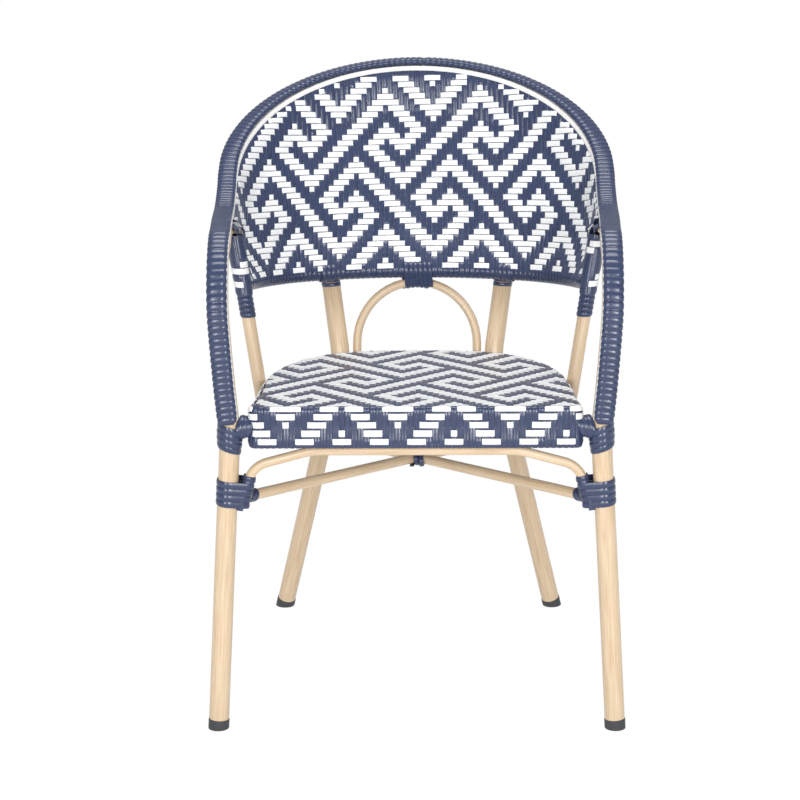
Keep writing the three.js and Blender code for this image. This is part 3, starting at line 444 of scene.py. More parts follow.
def hoop_at(s):
    """Place, sideways and outward on the hoop at distances along it."""
    return read_at(HOOP, HOOP_S, s), unit(read_at(HOOP_B, HOOP_S, s)), unit(read_at(HOOP_N, HOOP_S, s))


tube("hoop_tube", "hoop_frame", HOOP, LEG_R, 28, ACROSS)

# Edge strip and wound cap, from the seat's corner to the seam at the top
STUB_HEIGHT = SEAT_HEIGHT - SEAT_SLOPE * 16 - 28
CAP_START_Z = STUB_HEIGHT + 6.5
half_count = len(HOOP) // 2
CAP_START_S = float(np.interp(CAP_START_Z, HOOP[:half_count // 2, 2], HOOP_S[:half_count // 2]))
SEAM_S = HOOP_S[-1] / 2 - 0.3
SEAM_ASIDE = {"left": 11.0, "right": -11.0}
STRIP_BOTTOM_R = LEG_R + 2 * GAP
STRIP_TOP = STRIP_BOTTOM_R + 1.3
CAP_BOTTOM = STRIP_TOP + GAP
CAP_TOP = CAP_BOTTOM + 11.4
CAP_MIDDLE = (CAP_BOTTOM + CAP_TOP) / 2
CAP_PITCH = 8.44
CAP_LEAD = 4
CAP_ROUNDED = 13
CROWN_ACROSS = [0, 0.9, 2.6, 4.2, 5.8, 7.5, 8.4, 15]


def edge_strip(name, mirror):
    bundle = Bundle(mirror)
    seam = SEAM_S + 0.28 + SEAM_ASIDE[name]
    s = np.linspace(CAP_START_S + CAP_LEAD, seam, 150)
    p, b, n = hoop_at(s)
    reach = math.asin(12 / STRIP_BOTTOM_R)
    angles = np.linspace(reach, -reach, 9)
    arc = [(STRIP_BOTTOM_R * math.sin(a), STRIP_BOTTOM_R * math.cos(a)) for a in angles]
    side = [(13.7, 9.6), (13.7, STRIP_TOP - 0.6), (13.0, STRIP_TOP)]
    section = arc + [(-b, n) for b, n in side] + side[::-1]
    q = np.array(section)
    rings = p[:, None] + b[:, None] * q[None, :, :1] + n[:, None] * q[None, :, 1:]
    across = lengths(np.vstack([q, q[:1]]))
    bundle.run(rings, across, s)
    bundle.piece("edge_band_" + name, CREAM, ["edge_strip_" + name], "white_strip", 50)


def cap_outline(turns):
    """Places and outward directions round the arm cap's section, by share of a turn."""
    w, h, power = 13.2, 5.5, 2.7
    a = np.linspace(0, 2 * math.pi, 97)
    c, n = np.cos(a), np.sin(a)
    places = np.column_stack([
        w * np.sign(c) * np.abs(c) ** (2 / power),
        h * np.sign(n) * np.abs(n) ** (2 / power),
    ])
    ways = unit(np.column_stack([
        np.sign(c) * np.abs(places[:, 0] / w) ** (power - 1) / w,
        np.sign(n) * np.abs(places[:, 1] / h) ** (power - 1) / h,
    ]))
    d = lengths(places)
    at = (turns % 1.0) * d[-1]
    return read_at(places, d, at) + (0, CAP_MIDDLE), unit(read_at(ways, d, at))


def cap_size(s, least):
    """The cap's size beside the full one: it rounds off at its lower end."""
    close = np.clip((s - CAP_START_S) / CAP_ROUNDED, 0, 1)
    return np.sqrt(1 - (1 - close) ** 2) * 0.42 + least


def crowned(half, low, edge, shoulder, crown):
    """A strip's section, as places across it and heights, with a rounded top."""
    inner = half * 0.62
    rising = ((-half, low), (-half, edge), (-inner, shoulder), (0, crown))
    return (*rising, (inner, shoulder), (half, edge), (half, low))


def arm_cap(name, mirror):
    bundle = Bundle(mirror)
    seam = SEAM_S + SEAM_ASIDE[name]
    turns = math.floor((seam - CAP_START_S - CAP_LEAD) / CAP_PITCH)
    pitch = (seam - CAP_START_S - 4.2) / turns
    steps = 26
    k = np.arange(turns * steps + 1) / steps
    q, way = cap_outline(k)
    s = CAP_START_S + CAP_LEAD + (k - 0.12 * np.sin(2 * math.pi * (k - 0.25))) * pitch
    rings = []
    centre = np.array((0, CAP_MIDDLE))
    for w, lift in crowned(pitch / 2 - 0.2, -0.6, -0.3, 0.45, 0.8):
        at = np.clip(s + w, CAP_START_S, seam)
        p, b, n = hoop_at(at)
        place = centre + (q - centre) * cap_size(at, 0.58)[:, None] + way * lift
        rings.append(p + b * place[:, :1] + n * place[:, 1:])
    rings = np.stack(rings, 1)
    bundle.run(rings, CROWN_ACROSS, lengths(rings.mean(1)))
    # The core that shows between the turns
    s = np.linspace(CAP_START_S + 0.5, seam, 140)
    p, b, n = hoop_at(s)
    q, _ = cap_outline(np.arange(20) / 20 + 1e-6)
    place = centre + (q - centre)[None] * cap_size(s, 0.55)[:, None, None]
    rings = p[:, None] + b[:, None] * place[..., :1] + n[:, None] * place[..., 1:]
    bundle.run(rings, np.arange(21) * 3.4, s)
    in_navy(bundle, "arm_winding_" + name, "arm_cap_" + name)


for side_name, sign in SIDES:
    edge_strip(side_name, sign < 0)
    arm_cap(side_name, sign < 0)

# Rear legs, seat plan, posts, rail, arch, brace, stretchers

REAR_FOOT = point(215.5, 529.5, 0)
REAR_KINK = point(114.5, 395, 437)
REAR_TOP = point(170, 551, 809)
UPRIGHT_WAY = unit(REAR_TOP - REAR_KINK)
REAR_BEND = 24
REAR_CLEAR = 13


def upright_at(z):
    return REAR_KINK + UPRIGHT_WAY * (z - REAR_KINK[2]) / UPRIGHT_WAY[2]


def rear_line():
    down = unit(REAR_FOOT - REAR_KINK)
    start = REAR_FOOT - down * CAP_HEIGHT / abs(down[2])
    a, c = REAR_KINK + down * REAR_BEND, REAR_KINK + UPRIGHT_WAY * REAR_BEND
    bend = [a * (1 - t) ** 2 + REAR_KINK * 2 * t * (1 - t) + c * t * t for t in np.linspace(0, 1, 9)]
    leg = [start, *[start + (a - start) * t for t in (0.33, 0.66)]]
    return np.array([*leg, *bend, (bend[-1] + REAR_TOP) / 2, REAR_TOP])


def hoop_reach(p):
    return np.linalg.norm(HOOP - p, axis=1).min()


for side_name, sign in SIDES:
    line = rear_line()
    while hoop_reach(line[-1]) < REAR_CLEAR:
        line[-1] -= UPRIGHT_WAY
    tube("rear_leg_tube_" + side_name, "rear_leg_" + side_name, line, LEG_R, 28, ACROSS, sign < 0)

SEAT_FRONT_Y, SEAT_STRAIGHT_END, SEAT_REAR_Y = -12, 60, 409
SEAT_HALF_WIDTH, SEAT_TAPER, SEAT_POWER, SEAT_CORNER_R = 226, 6, 2.8, 12
APRON_HEIGHT = 56


def seat_top(y):
    return SEAT_HEIGHT - SEAT_SLOPE * (y - SEAT_FRONT_Y)


def seat_half(y):
    """Half width of the seat at a distance back."""
    y = np.asarray(y, float)
    straight = SEAT_HALF_WIDTH - SEAT_TAPER * (y - SEAT_FRONT_Y) / (SEAT_STRAIGHT_END - SEAT_FRONT_Y)
    share = np.clip((y - SEAT_STRAIGHT_END) / (SEAT_REAR_Y - SEAT_STRAIGHT_END), 0, 1)
    curved = (SEAT_HALF_WIDTH - SEAT_TAPER) * (1 - share ** SEAT_POWER) ** (1 / SEAT_POWER)
    corner = np.clip(SEAT_FRONT_Y + SEAT_CORNER_R - y, 0, SEAT_CORNER_R)
    cut = SEAT_CORNER_R - np.sqrt(SEAT_CORNER_R ** 2 - corner ** 2)
    return np.where(y < SEAT_STRAIGHT_END, straight - cut, curved)


def seat_rear(x):
    """The seat's rear edge at a distance aside."""
    share = np.clip(np.abs(x) / (SEAT_HALF_WIDTH - SEAT_TAPER), 0, 1)
    depth = SEAT_REAR_Y - SEAT_STRAIGHT_END
    return SEAT_STRAIGHT_END + depth * (1 - share ** SEAT_POWER) ** (1 / SEAT_POWER)


POST_FOOT_Z, POST_TOP_Z, POST_END_Z = 421, 668, 657
POST_FOOT = point(float(seat_half(195)) - 3.6 + POST_R, 195, POST_FOOT_Z)
POST_TOP = point(258, 212, POST_TOP_Z)


def post_at(z):
    return POST_FOOT + (POST_TOP - POST_FOOT) * (z - POST_FOOT_Z) / (POST_TOP_Z - POST_FOOT_Z)


for side_name, sign in SIDES:
    line = [post_at(z) for z in np.linspace(POST_FOOT_Z, POST_END_Z, 6)]
    tube("side_post_tube_" + side_name, "side_post_" + side_name, line, POST_R, 24, ACROSS, sign < 0)
    line = [point(x, 4, STUB_HEIGHT) for x in np.linspace(leg_half_width(STUB_HEIGHT) - 10, 204, 4)]
    tube("corner_stub_tube_" + side_name, "corner_stub_" + side_name, line, POST_R, 24, UP, sign < 0)

RAIL_Z, RAIL_RISE, RAIL_HALF, RAIL_SIDE_R, RAIL_BACK_R = 567, 21, 246, 148, 410
upright_at_rail = upright_at(RAIL_Z)
RAIL_BACK_Y = (
    upright_at_rail[1]
    - (LEG_R + WRAPPED_R + 1.8 + 9 * GAP) / UPRIGHT_WAY[2]
    + RAIL_BACK_R
    - math.sqrt(RAIL_BACK_R ** 2 - upright_at_rail[0] ** 2)
)


def rail_right():
    """The right half of the rail's line, from the middle of the back to the side post."""
    shift = RAIL_BACK_R - RAIL_SIDE_R
    turn = math.asin((RAIL_HALF - RAIL_SIDE_R) / shift)
    side_x, side_y = shift * math.sin(turn), RAIL_BACK_Y - RAIL_BACK_R + shift * math.cos(turn)
    end_y = post_at(RAIL_Z + RAIL_RISE)[1]
    plan = []
    for a in np.linspace(0, turn, 12):
        plan.append((RAIL_BACK_R * math.sin(a), RAIL_BACK_Y - RAIL_BACK_R * (1 - math.cos(a))))
    for a in np.linspace(turn, math.pi / 2, 24)[1:]:
        plan.append((side_x + RAIL_SIDE_R * math.sin(a), side_y + RAIL_SIDE_R * math.cos(a)))
    for y in np.linspace(side_y, end_y, 8)[1:]:
        plan.append((RAIL_HALF, y))
    plan = np.array(plan)
    forward = (RAIL_BACK_Y - plan[:, 1]) / (RAIL_BACK_Y - end_y)
    return np.column_stack([plan, RAIL_Z + RAIL_RISE * forward ** 2])


RAIL = rail_right()

ARCH_TOP = RAIL_Z - WRAPPED_R - GAP - ARCH_R
ARCH_HALF_WIDTH, ARCH_FOOT_Z, ARCH_BEND_Z = 91, 415, 458
ARCH_FOOT_Y = float(seat_rear(ARCH_HALF_WIDTH)) + GAP + ARCH_R
ARCH_RISE = ARCH_TOP - ARCH_BEND_Z


def arch_line():
    points = [(ARCH_HALF_WIDTH, ARCH_FOOT_Z), (ARCH_HALF_WIDTH, 436)]
    for a in np.linspace(0, math.pi / 2, 14):
        points.append((ARCH_HALF_WIDTH * math.cos(a), ARCH_BEND_Z + ARCH_RISE * math.sin(a)))
    half = []
    for x, z in points:
        y = ARCH_FOOT_Y + (RAIL_BACK_Y - ARCH_FOOT_Y) * (z - ARCH_FOOT_Z) / (ARCH_TOP - ARCH_FOOT_Z)
        half.append(point(x, y, z))
    return np.array(half + [p * MIRROR for p in half[-2::-1]])


tube("back_arch_tube", "back_arch", arch_line(), ARCH_R, 20, BACKWARD)


def rounded_corner(before, corner, after, radius, steps):
    """Points round a bend between two straight lengths of tube."""
    back, on = unit(before - corner), unit(after - corner)
    half = math.acos(float(np.clip(back @ on, -1, 1))) / 2
    middle = corner + unit(back + on) * radius / math.sin(half)
    start = corner + back * radius / math.tan(half)
    a, b = unit(start - middle), unit(corner + on * radius / math.tan(half) - middle)
    span = math.acos(float(np.clip(a @ b, -1, 1)))
    side = unit(b - a * (a @ b))
    return [middle + radius * (a * math.cos(t) + side * math.sin(t)) for t in np.linspace(0, span, steps)]


BRACE_INSET = LEG_R + GAP + BRACE_R
BRACE_END_Z = 321
BRACE_SHOWN_FROM = 328
BRACE_Z = seat_top(BRACE_R) - APRON_HEIGHT - GAP - BRACE_R


def brace_line():
    end = point(leg_half_width(BRACE_END_Z) - BRACE_INSET, 0, BRACE_END_Z)
    level = point(140, 0, BRACE_Z)
    fall = math.tan(math.radians(15))
    rise = (level[2] - end[2] - fall * (end[0] - level[0])) / (1 - fall * BRACE_LEAN)
    elbow = point(end[0] - BRACE_LEAN * rise, 0, end[2] + rise)
    end = end + (elbow - end) * (BRACE_SHOWN_FROM - end[2]) / (elbow[2] - end[2])
    upper_bend = rounded_corner(elbow, level, point(0, 0, level[2]), 90, 6)
    half = [end, *rounded_corner(end, elbow, level, 36, 12), *upper_bend, point(60, 0, BRACE_Z)]
    return np.array(half + [p * MIRROR for p in half[::-1]])


tube("front_brace_tube", "front_brace", brace_line(), BRACE_R, 20, BACKWARD, rounded=1.2)


STRETCHER_FRONT_Z, STRETCHER_REAR_Z = 332, 307


def stretcher_ends(sign):
    """Where a stretcher starts at a front leg, and ends at the rear leg across."""
    z = STRETCHER_FRONT_Z
    front = point(sign * (leg_half_width(z) - 12), 0, z)
    low, high = rear_line()[0], rear_line()[3]
    rear = low + (high - low) * (STRETCHER_REAR_Z - low[2]) / (high[2] - low[2])
    return front, rear * (-sign, 1, 1)


through, halved = stretcher_ends(-1), stretcher_ends(1)
share = through[0][0] / (through[0][0] - through[1][0])
CROSSING = through[0] + (through[1] - through[0]) * share


def stretcher(name, node_name, start, stop, by_start, by_stop):
    """A straight tube between two points, drawn in from each by a distance."""
    way = unit(stop - start)
    start, stop = start + way * by_start, stop - way * by_stop
    tube(name, node_name, [start + (stop - start) * t for t in np.linspace(0, 1, 6)], STRETCHER_R, 22)


stretcher("stretcher_tube_through", "stretcher_through", *through, 6, 12)
stretcher("stretcher_tube_front", "stretcher_half_front", halved[0], CROSSING, 6, 8)
stretcher("stretcher_tube_rear", "stretcher_half_rear", halved[1], CROSSING, 12, 8)


# The woven fret


def leans(level, column):
    """How the white links leave a node: right, left, both or neither. Nodes lie on every third row."""
    block = (level // 4) % 2
    c = (column + 6 * block) % 18
    if level % 2 == 0:
        return {3: "right", 9: "none", 15: "left"}.get(c)
    other = "left" if block == 0 else "right"
    if level % 4 == 1:
        return {0: "both", 6: "right", 12: "left"}.get(c)
    return {0: "both", 6: other, 12: other}.get(c)


def white_over(row, column):
    """Whether the white strip passes over the navy one: three strips wide along each link of the fret."""
    level, step = divmod(row, 3)
    near = range(column - 4, column + 5)
    here = {n: leans(level, n) for n in near}
    here = {n: way for n, way in here.items() if way}
    if step == 0:
        return any(abs(column - n) <= 1 for n in here)
    for n, way in here.items():
        if way in ("left", "both") and abs(column - n + step) <= 1:
            return True
        if way in ("right", "both") and abs(column - n - step) <= 1:
            return True
        if way == "none" and step == 1 and column == n:
            return True
    if step == 2 and leans(level + 1, column):
        reached = [n - 3 for n, w in here.items() if w in ("left", "both")]
        reached += [n + 3 for n, w in here.items() if w in ("right", "both")]
        return column not in reached
    return False


def cell_runs(cells, over):
    """Places and heights along a strip, which bows over a crossing or dips under it."""
    at, lift = [], []
    for i, cell in enumerate(cells):
        turn = 1 if over[i] else -1
        before = i > 0 and over[i - 1] == over[i]
        after = i < len(cells) - 1 and over[i + 1] == over[i]
        at += [cell - 0.34, cell, cell + 0.34]
        lift += [turn * (1.12 if before else 0.62), turn * (1.2 if before and after else 1.05)]
        lift.append(turn * (1.12 if after else 0.62))
    return np.array(at, float), np.array(lift, float)


NAVY_ACROSS = [0, 0.9, 2.4, 5.2, 6.4, 7.2, 13]
WHITE_ACROSS = [0, 0.9, 1.8, 6, 7, 8, 16]


def navy_section(crown):
    return (-0.48, -0.5), (-0.48, 0.1), (-0.27, crown), (0.27, crown), (0.48, 0.1), (0.48, -0.5)


def weave(
    place, columns, rows_of, rows, columns_of, navy, white,
    lead, thick=1.15, raise_by=0.78, half=0.43, over_at=white_over,
):
    """Navy strips up the columns and white ones along the rows, over and under by over_at.

    place(c, r, lift) gives points in millimetres, and lead carries a navy strip on past its rows.
    """
    section = navy_section(0.62)
    for c in columns:
        cells = rows_of(c)
        if len(cells) < 2:
            continue
        over = [not over_at(r, c) for r in cells]
        at, lift = lead(c, *cell_runs(cells, over))
        rings = [place(np.full(len(at), c + u), at, lift * raise_by + h * thick) for u, h in section]
        rings = np.stack(rings, 1)
        navy.run(rings, NAVY_ACROSS, lengths(rings.mean(1)) + c * 37.0)
    flat = half - 0.1
    section = (-half, -0.5), (-half, 0.35), (-flat, 0.5), (flat, 0.5), (half, 0.35), (half, -0.5)
    for r in rows:
        for cells in columns_of(r):
            if len(cells) < 2:
                continue
            over = [over_at(r, c) for c in cells]
            at, lift = cell_runs(cells, over)
            at = np.concatenate([[at[0] - 0.25], at, [at[-1] + 0.25]])
            lift = np.concatenate([[-1], lift, [-1]])
            rings = [place(at, np.full(len(at), r + v), lift * raise_by + h * thick) for v, h in section]
            rings = np.stack(rings, 1)
            white.run(rings, WHITE_ACROSS, lengths(rings.mean(1)) + r * 53.0)


# The back: strips that run straight from the rail to the hoop. Half of the rail and half of the
# hoop each carry this many columns, and the pattern's middle stands aside by the shift.
RAIL_COLUMNS, RAIL_SHIFT = 52.8, 3.2
TOP_COLUMNS, TOP_SHIFT = 47.62, 2.97
LEVELS = 33
RAIL_D = lengths(RAIL)
SHEET_START = len(HOOP) // 2
on_sheet = [p for p in HOOP[SHEET_START:] * MIRROR if p[1] > POST_TOP[1] + 1]
SHEET_TOP = np.array([*on_sheet, POST_TOP])
SHEET_TOP_D = lengths(SHEET_TOP)
SHEET_TOP_WAY = tangents(SHEET_TOP)


def strip_ends(c):
    """Where a column leaves the rail and meets the hoop, and the way the hoop runs there."""
    low, high = (c + RAIL_SHIFT) / RAIL_COLUMNS, (c + TOP_SHIFT) / TOP_COLUMNS
    size = np.clip(np.abs(low), 0, 1)
    size = size + 0.0206 * np.sin(np.pi * size) + 0.009 * np.sin(2 * np.pi * size)
    foot = read_at(RAIL, RAIL_D, size * RAIL_D[-1]) * np.where(low[..., None] < 0, MIRROR, 1)
    size = np.clip(np.abs(high), 0, 1)
    fan = 0.1358 * np.sin(np.pi * size) - 0.0241 * np.sin(2 * np.pi * size)
    fan = fan + 0.0044 * np.sin(3 * np.pi * size)
    flip = np.where(high[..., None] < 0, MIRROR, 1)
    at = (size - fan) * SHEET_TOP_D[-1]
    top = read_at(SHEET_TOP, SHEET_TOP_D, at) * flip
    return foot, top, unit(read_at(SHEET_TOP_WAY, SHEET_TOP_D, at) * flip)


def strip_rise(c, r):
    """How far up a strip a row lies from the rail, by a formula fitted to the rows."""
    s = (c + RAIL_SHIFT) / RAIL_COLUMNS
    return 3.69 + 9.2486 * r - 0.0086 * r * r + 9.68 * s * s + 4.1 * s + (0.2125 + 0.7106 * s) * s * r


SLEEVE_R = WRAPPED_R - 0.9
HOOP_SLEEVE_R = LEG_R + 1.0
LEAVE = 60.0
LEAVE_ANGLE = math.acos(SLEEVE_R / LEAVE)
MEET_ANGLE = math.acos(HOOP_SLEEVE_R / LEAVE)


def strip_frame(c, r):
    """A strip's foot, its upward and frontward ways, and its place against the hoop."""
    sway = np.sin(np.pi * np.clip(r / LEVELS, 0, 1))
    c = c + (0.12 - 0.0474 * c) * sway
    foot, top, along = strip_ends(c)
    before, after = strip_ends(c - 0.5), strip_ends(c + 0.5)
    across = (after[0] + after[1]) - (before[0] + before[1])
    up = unit(top - foot)
    front = unit(np.cross(across, up))
    rise = strip_rise(c, r)
    leaning = (up * along).sum(-1)
    ahead = np.linalg.norm(top - foot, axis=-1) - rise
    return foot, top, along, up, front, rise, leaning, ahead


def hoop_gap(c, r):
    """Distance from a crossing to the hoop's axis, square to the hoop."""
    *_, leaning, ahead = strip_frame(np.asarray(c, float), np.asarray(r, float))
    return ahead * np.sqrt(1 - leaning ** 2)


def hoop_ways(up, front, along, leaning):
    """Outward and forward on the hoop, square to it."""
    outward = unit(up - along * leaning[..., None])
    return outward, unit(front - along * (front * along).sum(-1)[..., None])


def back_place(c, r, lift):
    """A point of the back's weave: round the rail, up the sheet or over the hoop."""
    c, r = np.broadcast_arrays(np.asarray(c, float), np.asarray(r, float))
    foot, top, along, up, front, rise, leaning, ahead = strip_frame(c, r)
    start = SLEEVE_R * math.cos(LEAVE_ANGLE)
    low = SLEEVE_R * math.sin(LEAVE_ANGLE) * (LEAVE - rise) / (LEAVE - start)
    gap = ahead * np.sqrt(1 - leaning ** 2)
    stop = HOOP_SLEEVE_R * math.cos(MEET_ANGLE)
    high = HOOP_SLEEVE_R * math.sin(MEET_ANGLE) * (LEAVE - gap) / (LEAVE - stop)
    forward = np.clip(np.maximum(low, high), 0, None)
    sheet = foot + up * rise[..., None] + front * (forward + lift)[..., None]
    angle = LEAVE_ANGLE + (start - rise) / SLEEVE_R
    ring = SLEEVE_R + lift
    sleeve = foot + up * (ring * np.cos(angle))[..., None] + front * (ring * np.sin(angle))[..., None]
    outward, forth = hoop_ways(up, front, along, leaning)
    angle = MEET_ANGLE + (stop - gap) / HOOP_SLEEVE_R
    ring = HOOP_SLEEVE_R + 0.55 * lift
    slip = along * np.clip(leaning * ahead, -14, 14)[..., None]
    over = top - slip - outward * (ring * np.cos(angle))[..., None]
    over = over + forth * (ring * np.sin(angle))[..., None]
    near_rail, near_hoop = (rise < start)[..., None], (gap < stop)[..., None]
    return np.where(near_hoop, over, np.where(near_rail, sleeve, sheet))


back_columns = list(range(-55, 50))
BACK_ROWS = 42


def back_rows(c):
    gaps = hoop_gap(np.full(BACK_ROWS, float(c)), np.arange(BACK_ROWS))
    return [r for r in range(BACK_ROWS) if gaps[r] > 0.5]


rows_at = {c: back_rows(c) for c in back_columns}


def back_columns_of(r):
    """The unbroken stretches of a row."""
    cells = [c for c in back_columns[2:-2] if r in rows_at[c]]
    groups, group = [], []
    for c in cells:
        if group and c != group[-1] + 1:
            groups.append(group)
            group = []
        group.append(c)
    return groups + [group]


def row_for(c, between, test):
    """The row between two at which a measure is nearest nought."""
    rows = np.linspace(*between, 400)
    return float(rows[np.abs(test(np.full(400, float(c)), rows)).argmin()])


def round_rail(c, at, lift):
    """Carries a navy strip on from the lowest row round the rail, and up under the edge band."""
    low = row_for(c, (-10, 0), lambda q, r: strip_rise(q, r) + 49.5)
    turn = np.linspace(low, -0.5, 14)
    last = at[-1]
    high = row_for(c, (last, last + 3), lambda q, r: hoop_gap(q, r) + 9)
    steps = np.linspace(last, high, 5)[1:] if high > last + 0.2 else np.array([last + 0.1])
    lift = np.concatenate([np.full(14, 0.5), lift, np.full(len(steps), 0.2)])
    return np.concatenate([turn, at, steps]), lift


back_navy, back_white = Bundle(), Bundle()
weave(
    back_place, back_columns, lambda c: rows_at[c], range(BACK_ROWS), back_columns_of,
    back_navy, back_white, round_rail,
)
in_navy(back_navy, "back_navy_strips", "back_weave")
in_white(back_white, "back_white_strips", "back_weave")


def hoop_wrapping():
    """The navy strips' turns round the rear of the hoop, down from under the edge band."""
    bundle = Bundle()
    angles = np.radians(np.linspace(240, 352, 10))
    for c in back_columns:
        rings = []
        last = rows_at[c][-1]
        met = {u: row_for(c + u, (last - 1, last + 3), hoop_gap) for u in (-0.48, -0.27, 0.27, 0.48)}
        for u, h in navy_section(0.6):
            _, top, along, up, front, _, leaning, _ = strip_frame(np.array([c + u]), np.array([met[u]]))
            outward, forth = hoop_ways(up, front, along, leaning)
            ring = HOOP_SLEEVE_R + h
            around = top - outward * (ring * np.cos(angles))[:, None]
            rings.append(around + forth * (ring * np.sin(angles))[:, None])
        rings = np.stack(rings, 1)
        bundle.run(rings, NAVY_ACROSS, lengths(rings.mean(1)) + c * 37.0)
    in_navy(bundle, "hoop_wrapping", "back_weave")


hoop_wrapping()


# The windings
TURN_STEPS = 36


def belt(near, far, lift):
    """Points round two tubes side by side, each a radius and a place.

    A single tube has both places alike.
    """
    (r0, p0), (r1, p1) = near, far
    if p0 == p1:
        a = np.arange(TURN_STEPS) / TURN_STEPS * 2 * math.pi
        return np.stack([p0 + (r0 + lift) * np.cos(a), (r0 + lift) * np.sin(a)], -1)
    tilt = math.acos((r0 - r1) / (p1 - p0))
    corners = []
    for a in np.linspace(tilt, 2 * math.pi - tilt, 60):
        corners.append((p0 + (r0 + lift) * math.cos(a), (r0 + lift) * math.sin(a)))
    for a in np.linspace(-tilt, tilt, 60):
        corners.append((p1 + (r1 + lift) * math.cos(a), (r1 + lift) * math.sin(a)))
    corners.append(corners[0])
    corners = np.array(corners)
    d = lengths(corners)
    return read_at(corners, d, np.arange(TURN_STEPS) / TURN_STEPS * d[-1])


def strip(bundle, centre, out, width):
    """Lays one crowned strip along points, its face towards out."""
    centre = np.asarray(centre, float)
    t = tangents(centre)
    side = unit(np.cross(t, np.broadcast_to(out, centre.shape)))
    out = np.cross(side, t)
    section = crowned(width / 2, -0.7, -0.2, 0.5, 0.85)
    rings = np.stack([centre + side * w + out * h for w, h in section], 1)
    bundle.run(rings, CROWN_ACROSS, lengths(rings.mean(1)))


def wind(bundle, origin, axis, u, tubes, turns, width, pitch, start=0.0, slant=0.0, lift=1.1):
    """A strip wound round one tube or two, its turns a pitch apart along the axis."""
    axis, u = unit(axis), unit(u)
    v = np.cross(axis, u)
    centre, out = [], []
    for i in range(int(round(turns * TURN_STEPS)) + 1):
        along = i / TURN_STEPS * pitch
        ring = belt(*tubes(along), lift)
        k = int(round(i + start * TURN_STEPS)) % TURN_STEPS
        q, before, after = ring[k], ring[(k - 1) % TURN_STEPS], ring[(k + 1) % TURN_STEPS]
        way = after - before
        normal = unit(np.array((way[1], -way[0])))
        centre.append(origin + axis * (along + slant * q[0]) + u * q[0] + v * q[1])
        out.append(u * normal[0] + v * normal[1])
    strip(bundle, centre, np.array(out), width)


def single(radius):
    """One tube, as wind asks for it."""
    return lambda along: ((radius, 0), (radius, 0))


# The sleeves on the side posts: the same weave taken round the post
SLEEVE_AROUND = 9
SLEEVE_ROWS = range(8)
SLEEVE_FOOT_Z, SLEEVE_PITCH = 590.5, 9.4
SLEEVE_FLOATS = {
    "left": {0: (2, 3, 4), 2: (0, 1, 2, 3, 4), 3: (0, 1)},
    "right": {0: (2, 3, 4), 1: (3, 4), 5: (0, 1), 6: (1, 2, 3)},
}


def post_sleeve(name, mirror):
    """Strips laid along the side post and crossed by a few white turns."""
    floats = SLEEVE_FLOATS[name]

    def place(c, r, lift):
        angle = math.pi + (np.asarray(c, float) + 0.5) * 2 * math.pi / SLEEVE_AROUND
        ring = POST_R + 1.9 + lift
        z = SLEEVE_FOOT_Z + SLEEVE_PITCH * np.asarray(r, float)
        share = (z - POST_FOOT_Z) / (POST_TOP_Z - POST_FOOT_Z)
        middle = POST_FOOT + (POST_TOP - POST_FOOT) * share[..., None]
        return middle + np.stack([ring * np.cos(angle), ring * np.sin(angle), 0 * ring], -1)

    def over_at(r, c):
        return c % SLEEVE_AROUND in floats.get(r, ())

    def lead(c, at, lift):
        return np.concatenate([[-1.5, -1.0], at]), np.concatenate([[0.3, 0.3], lift])

    navy, white = Bundle(mirror), Bundle(mirror)
    columns = list(range(SLEEVE_AROUND))
    weave(
        place, columns, lambda c: list(SLEEVE_ROWS),
        SLEEVE_ROWS, lambda r: [columns + [SLEEVE_AROUND]] if r in floats else [],
        navy, white, lead, raise_by=0.7, over_at=over_at,
    )
    # The knot that binds the post's top to the arm, at its inner side
    y = POST_TOP[1] + 10
    arm = point(arm_half_width(y), y, ARM_HEIGHT)
    wind(
        navy, arm, point(0, -1, 0), point(-1, 0, -0.25),
        lambda along: ((LEG_R, 0), (8.5, 13.0)), 2.9, 7.3, 7.0, start=0.2,
    )
    in_navy(navy, "post_sleeve_" + name, "back_weave")
    in_white(white, "post_sleeve_white_" + name, "back_weave")


for side_name, sign in SIDES:
    post_sleeve(side_name, sign < 0)

# The seat

DECK_DROP = 2.1
DECK_PITCH = 9.5
DECK_FIRST_ROW = 5
DECK_ROWS = range(DECK_FIRST_ROW, 49)
deck_columns = list(range(-23, 30))


def deck_x(c, y):
    """The deck's columns, which spread a little towards the front edge."""
    near = np.exp(-np.clip(y, 0, None) / 40)
    return (c - 2.5 - 0.32 * near) * (8.15 + 0.25 * near)


def deck_y(r):
    return 1 + DECK_PITCH * (r - DECK_FIRST_ROW)


def on_deck(c, y):
    return abs(deck_x(c, y)) < float(seat_half(y)) - 2.5


def deck_place(c, r, lift):
    c, r = np.asarray(c, float), np.asarray(r, float)
    y = deck_y(r)
    x = deck_x(c, y)
    half = seat_half(np.clip(y, SEAT_FRONT_Y, SEAT_REAR_Y - 0.5))
    rear = seat_rear(np.clip(x, -219, 219))
    x = np.clip(x, -half, half)
    y = np.minimum(y, rear)
    inside = np.minimum(half - np.abs(x), rear - y)
    fall = 5 - np.sqrt(np.clip(25 - np.clip(5 - inside, 0, 5) ** 2, 0, 25))
    return np.stack([x, y, seat_top(0) - SEAT_SLOPE * y - DECK_DROP + lift - fall], -1)


def deck_rows(c):
    made = []
    for r in DECK_ROWS:
        y = deck_y(r)
        if y < SEAT_REAR_Y - 3 and on_deck(c, y) and y < float(seat_rear(deck_x(c, y))) - 2:
            made.append(r)
    return made


def deck_columns_of(r):
    y = deck_y(r)
    if y > SEAT_REAR_Y - 3:
        return []
    return [[c for c in deck_columns if on_deck(c, y)]]


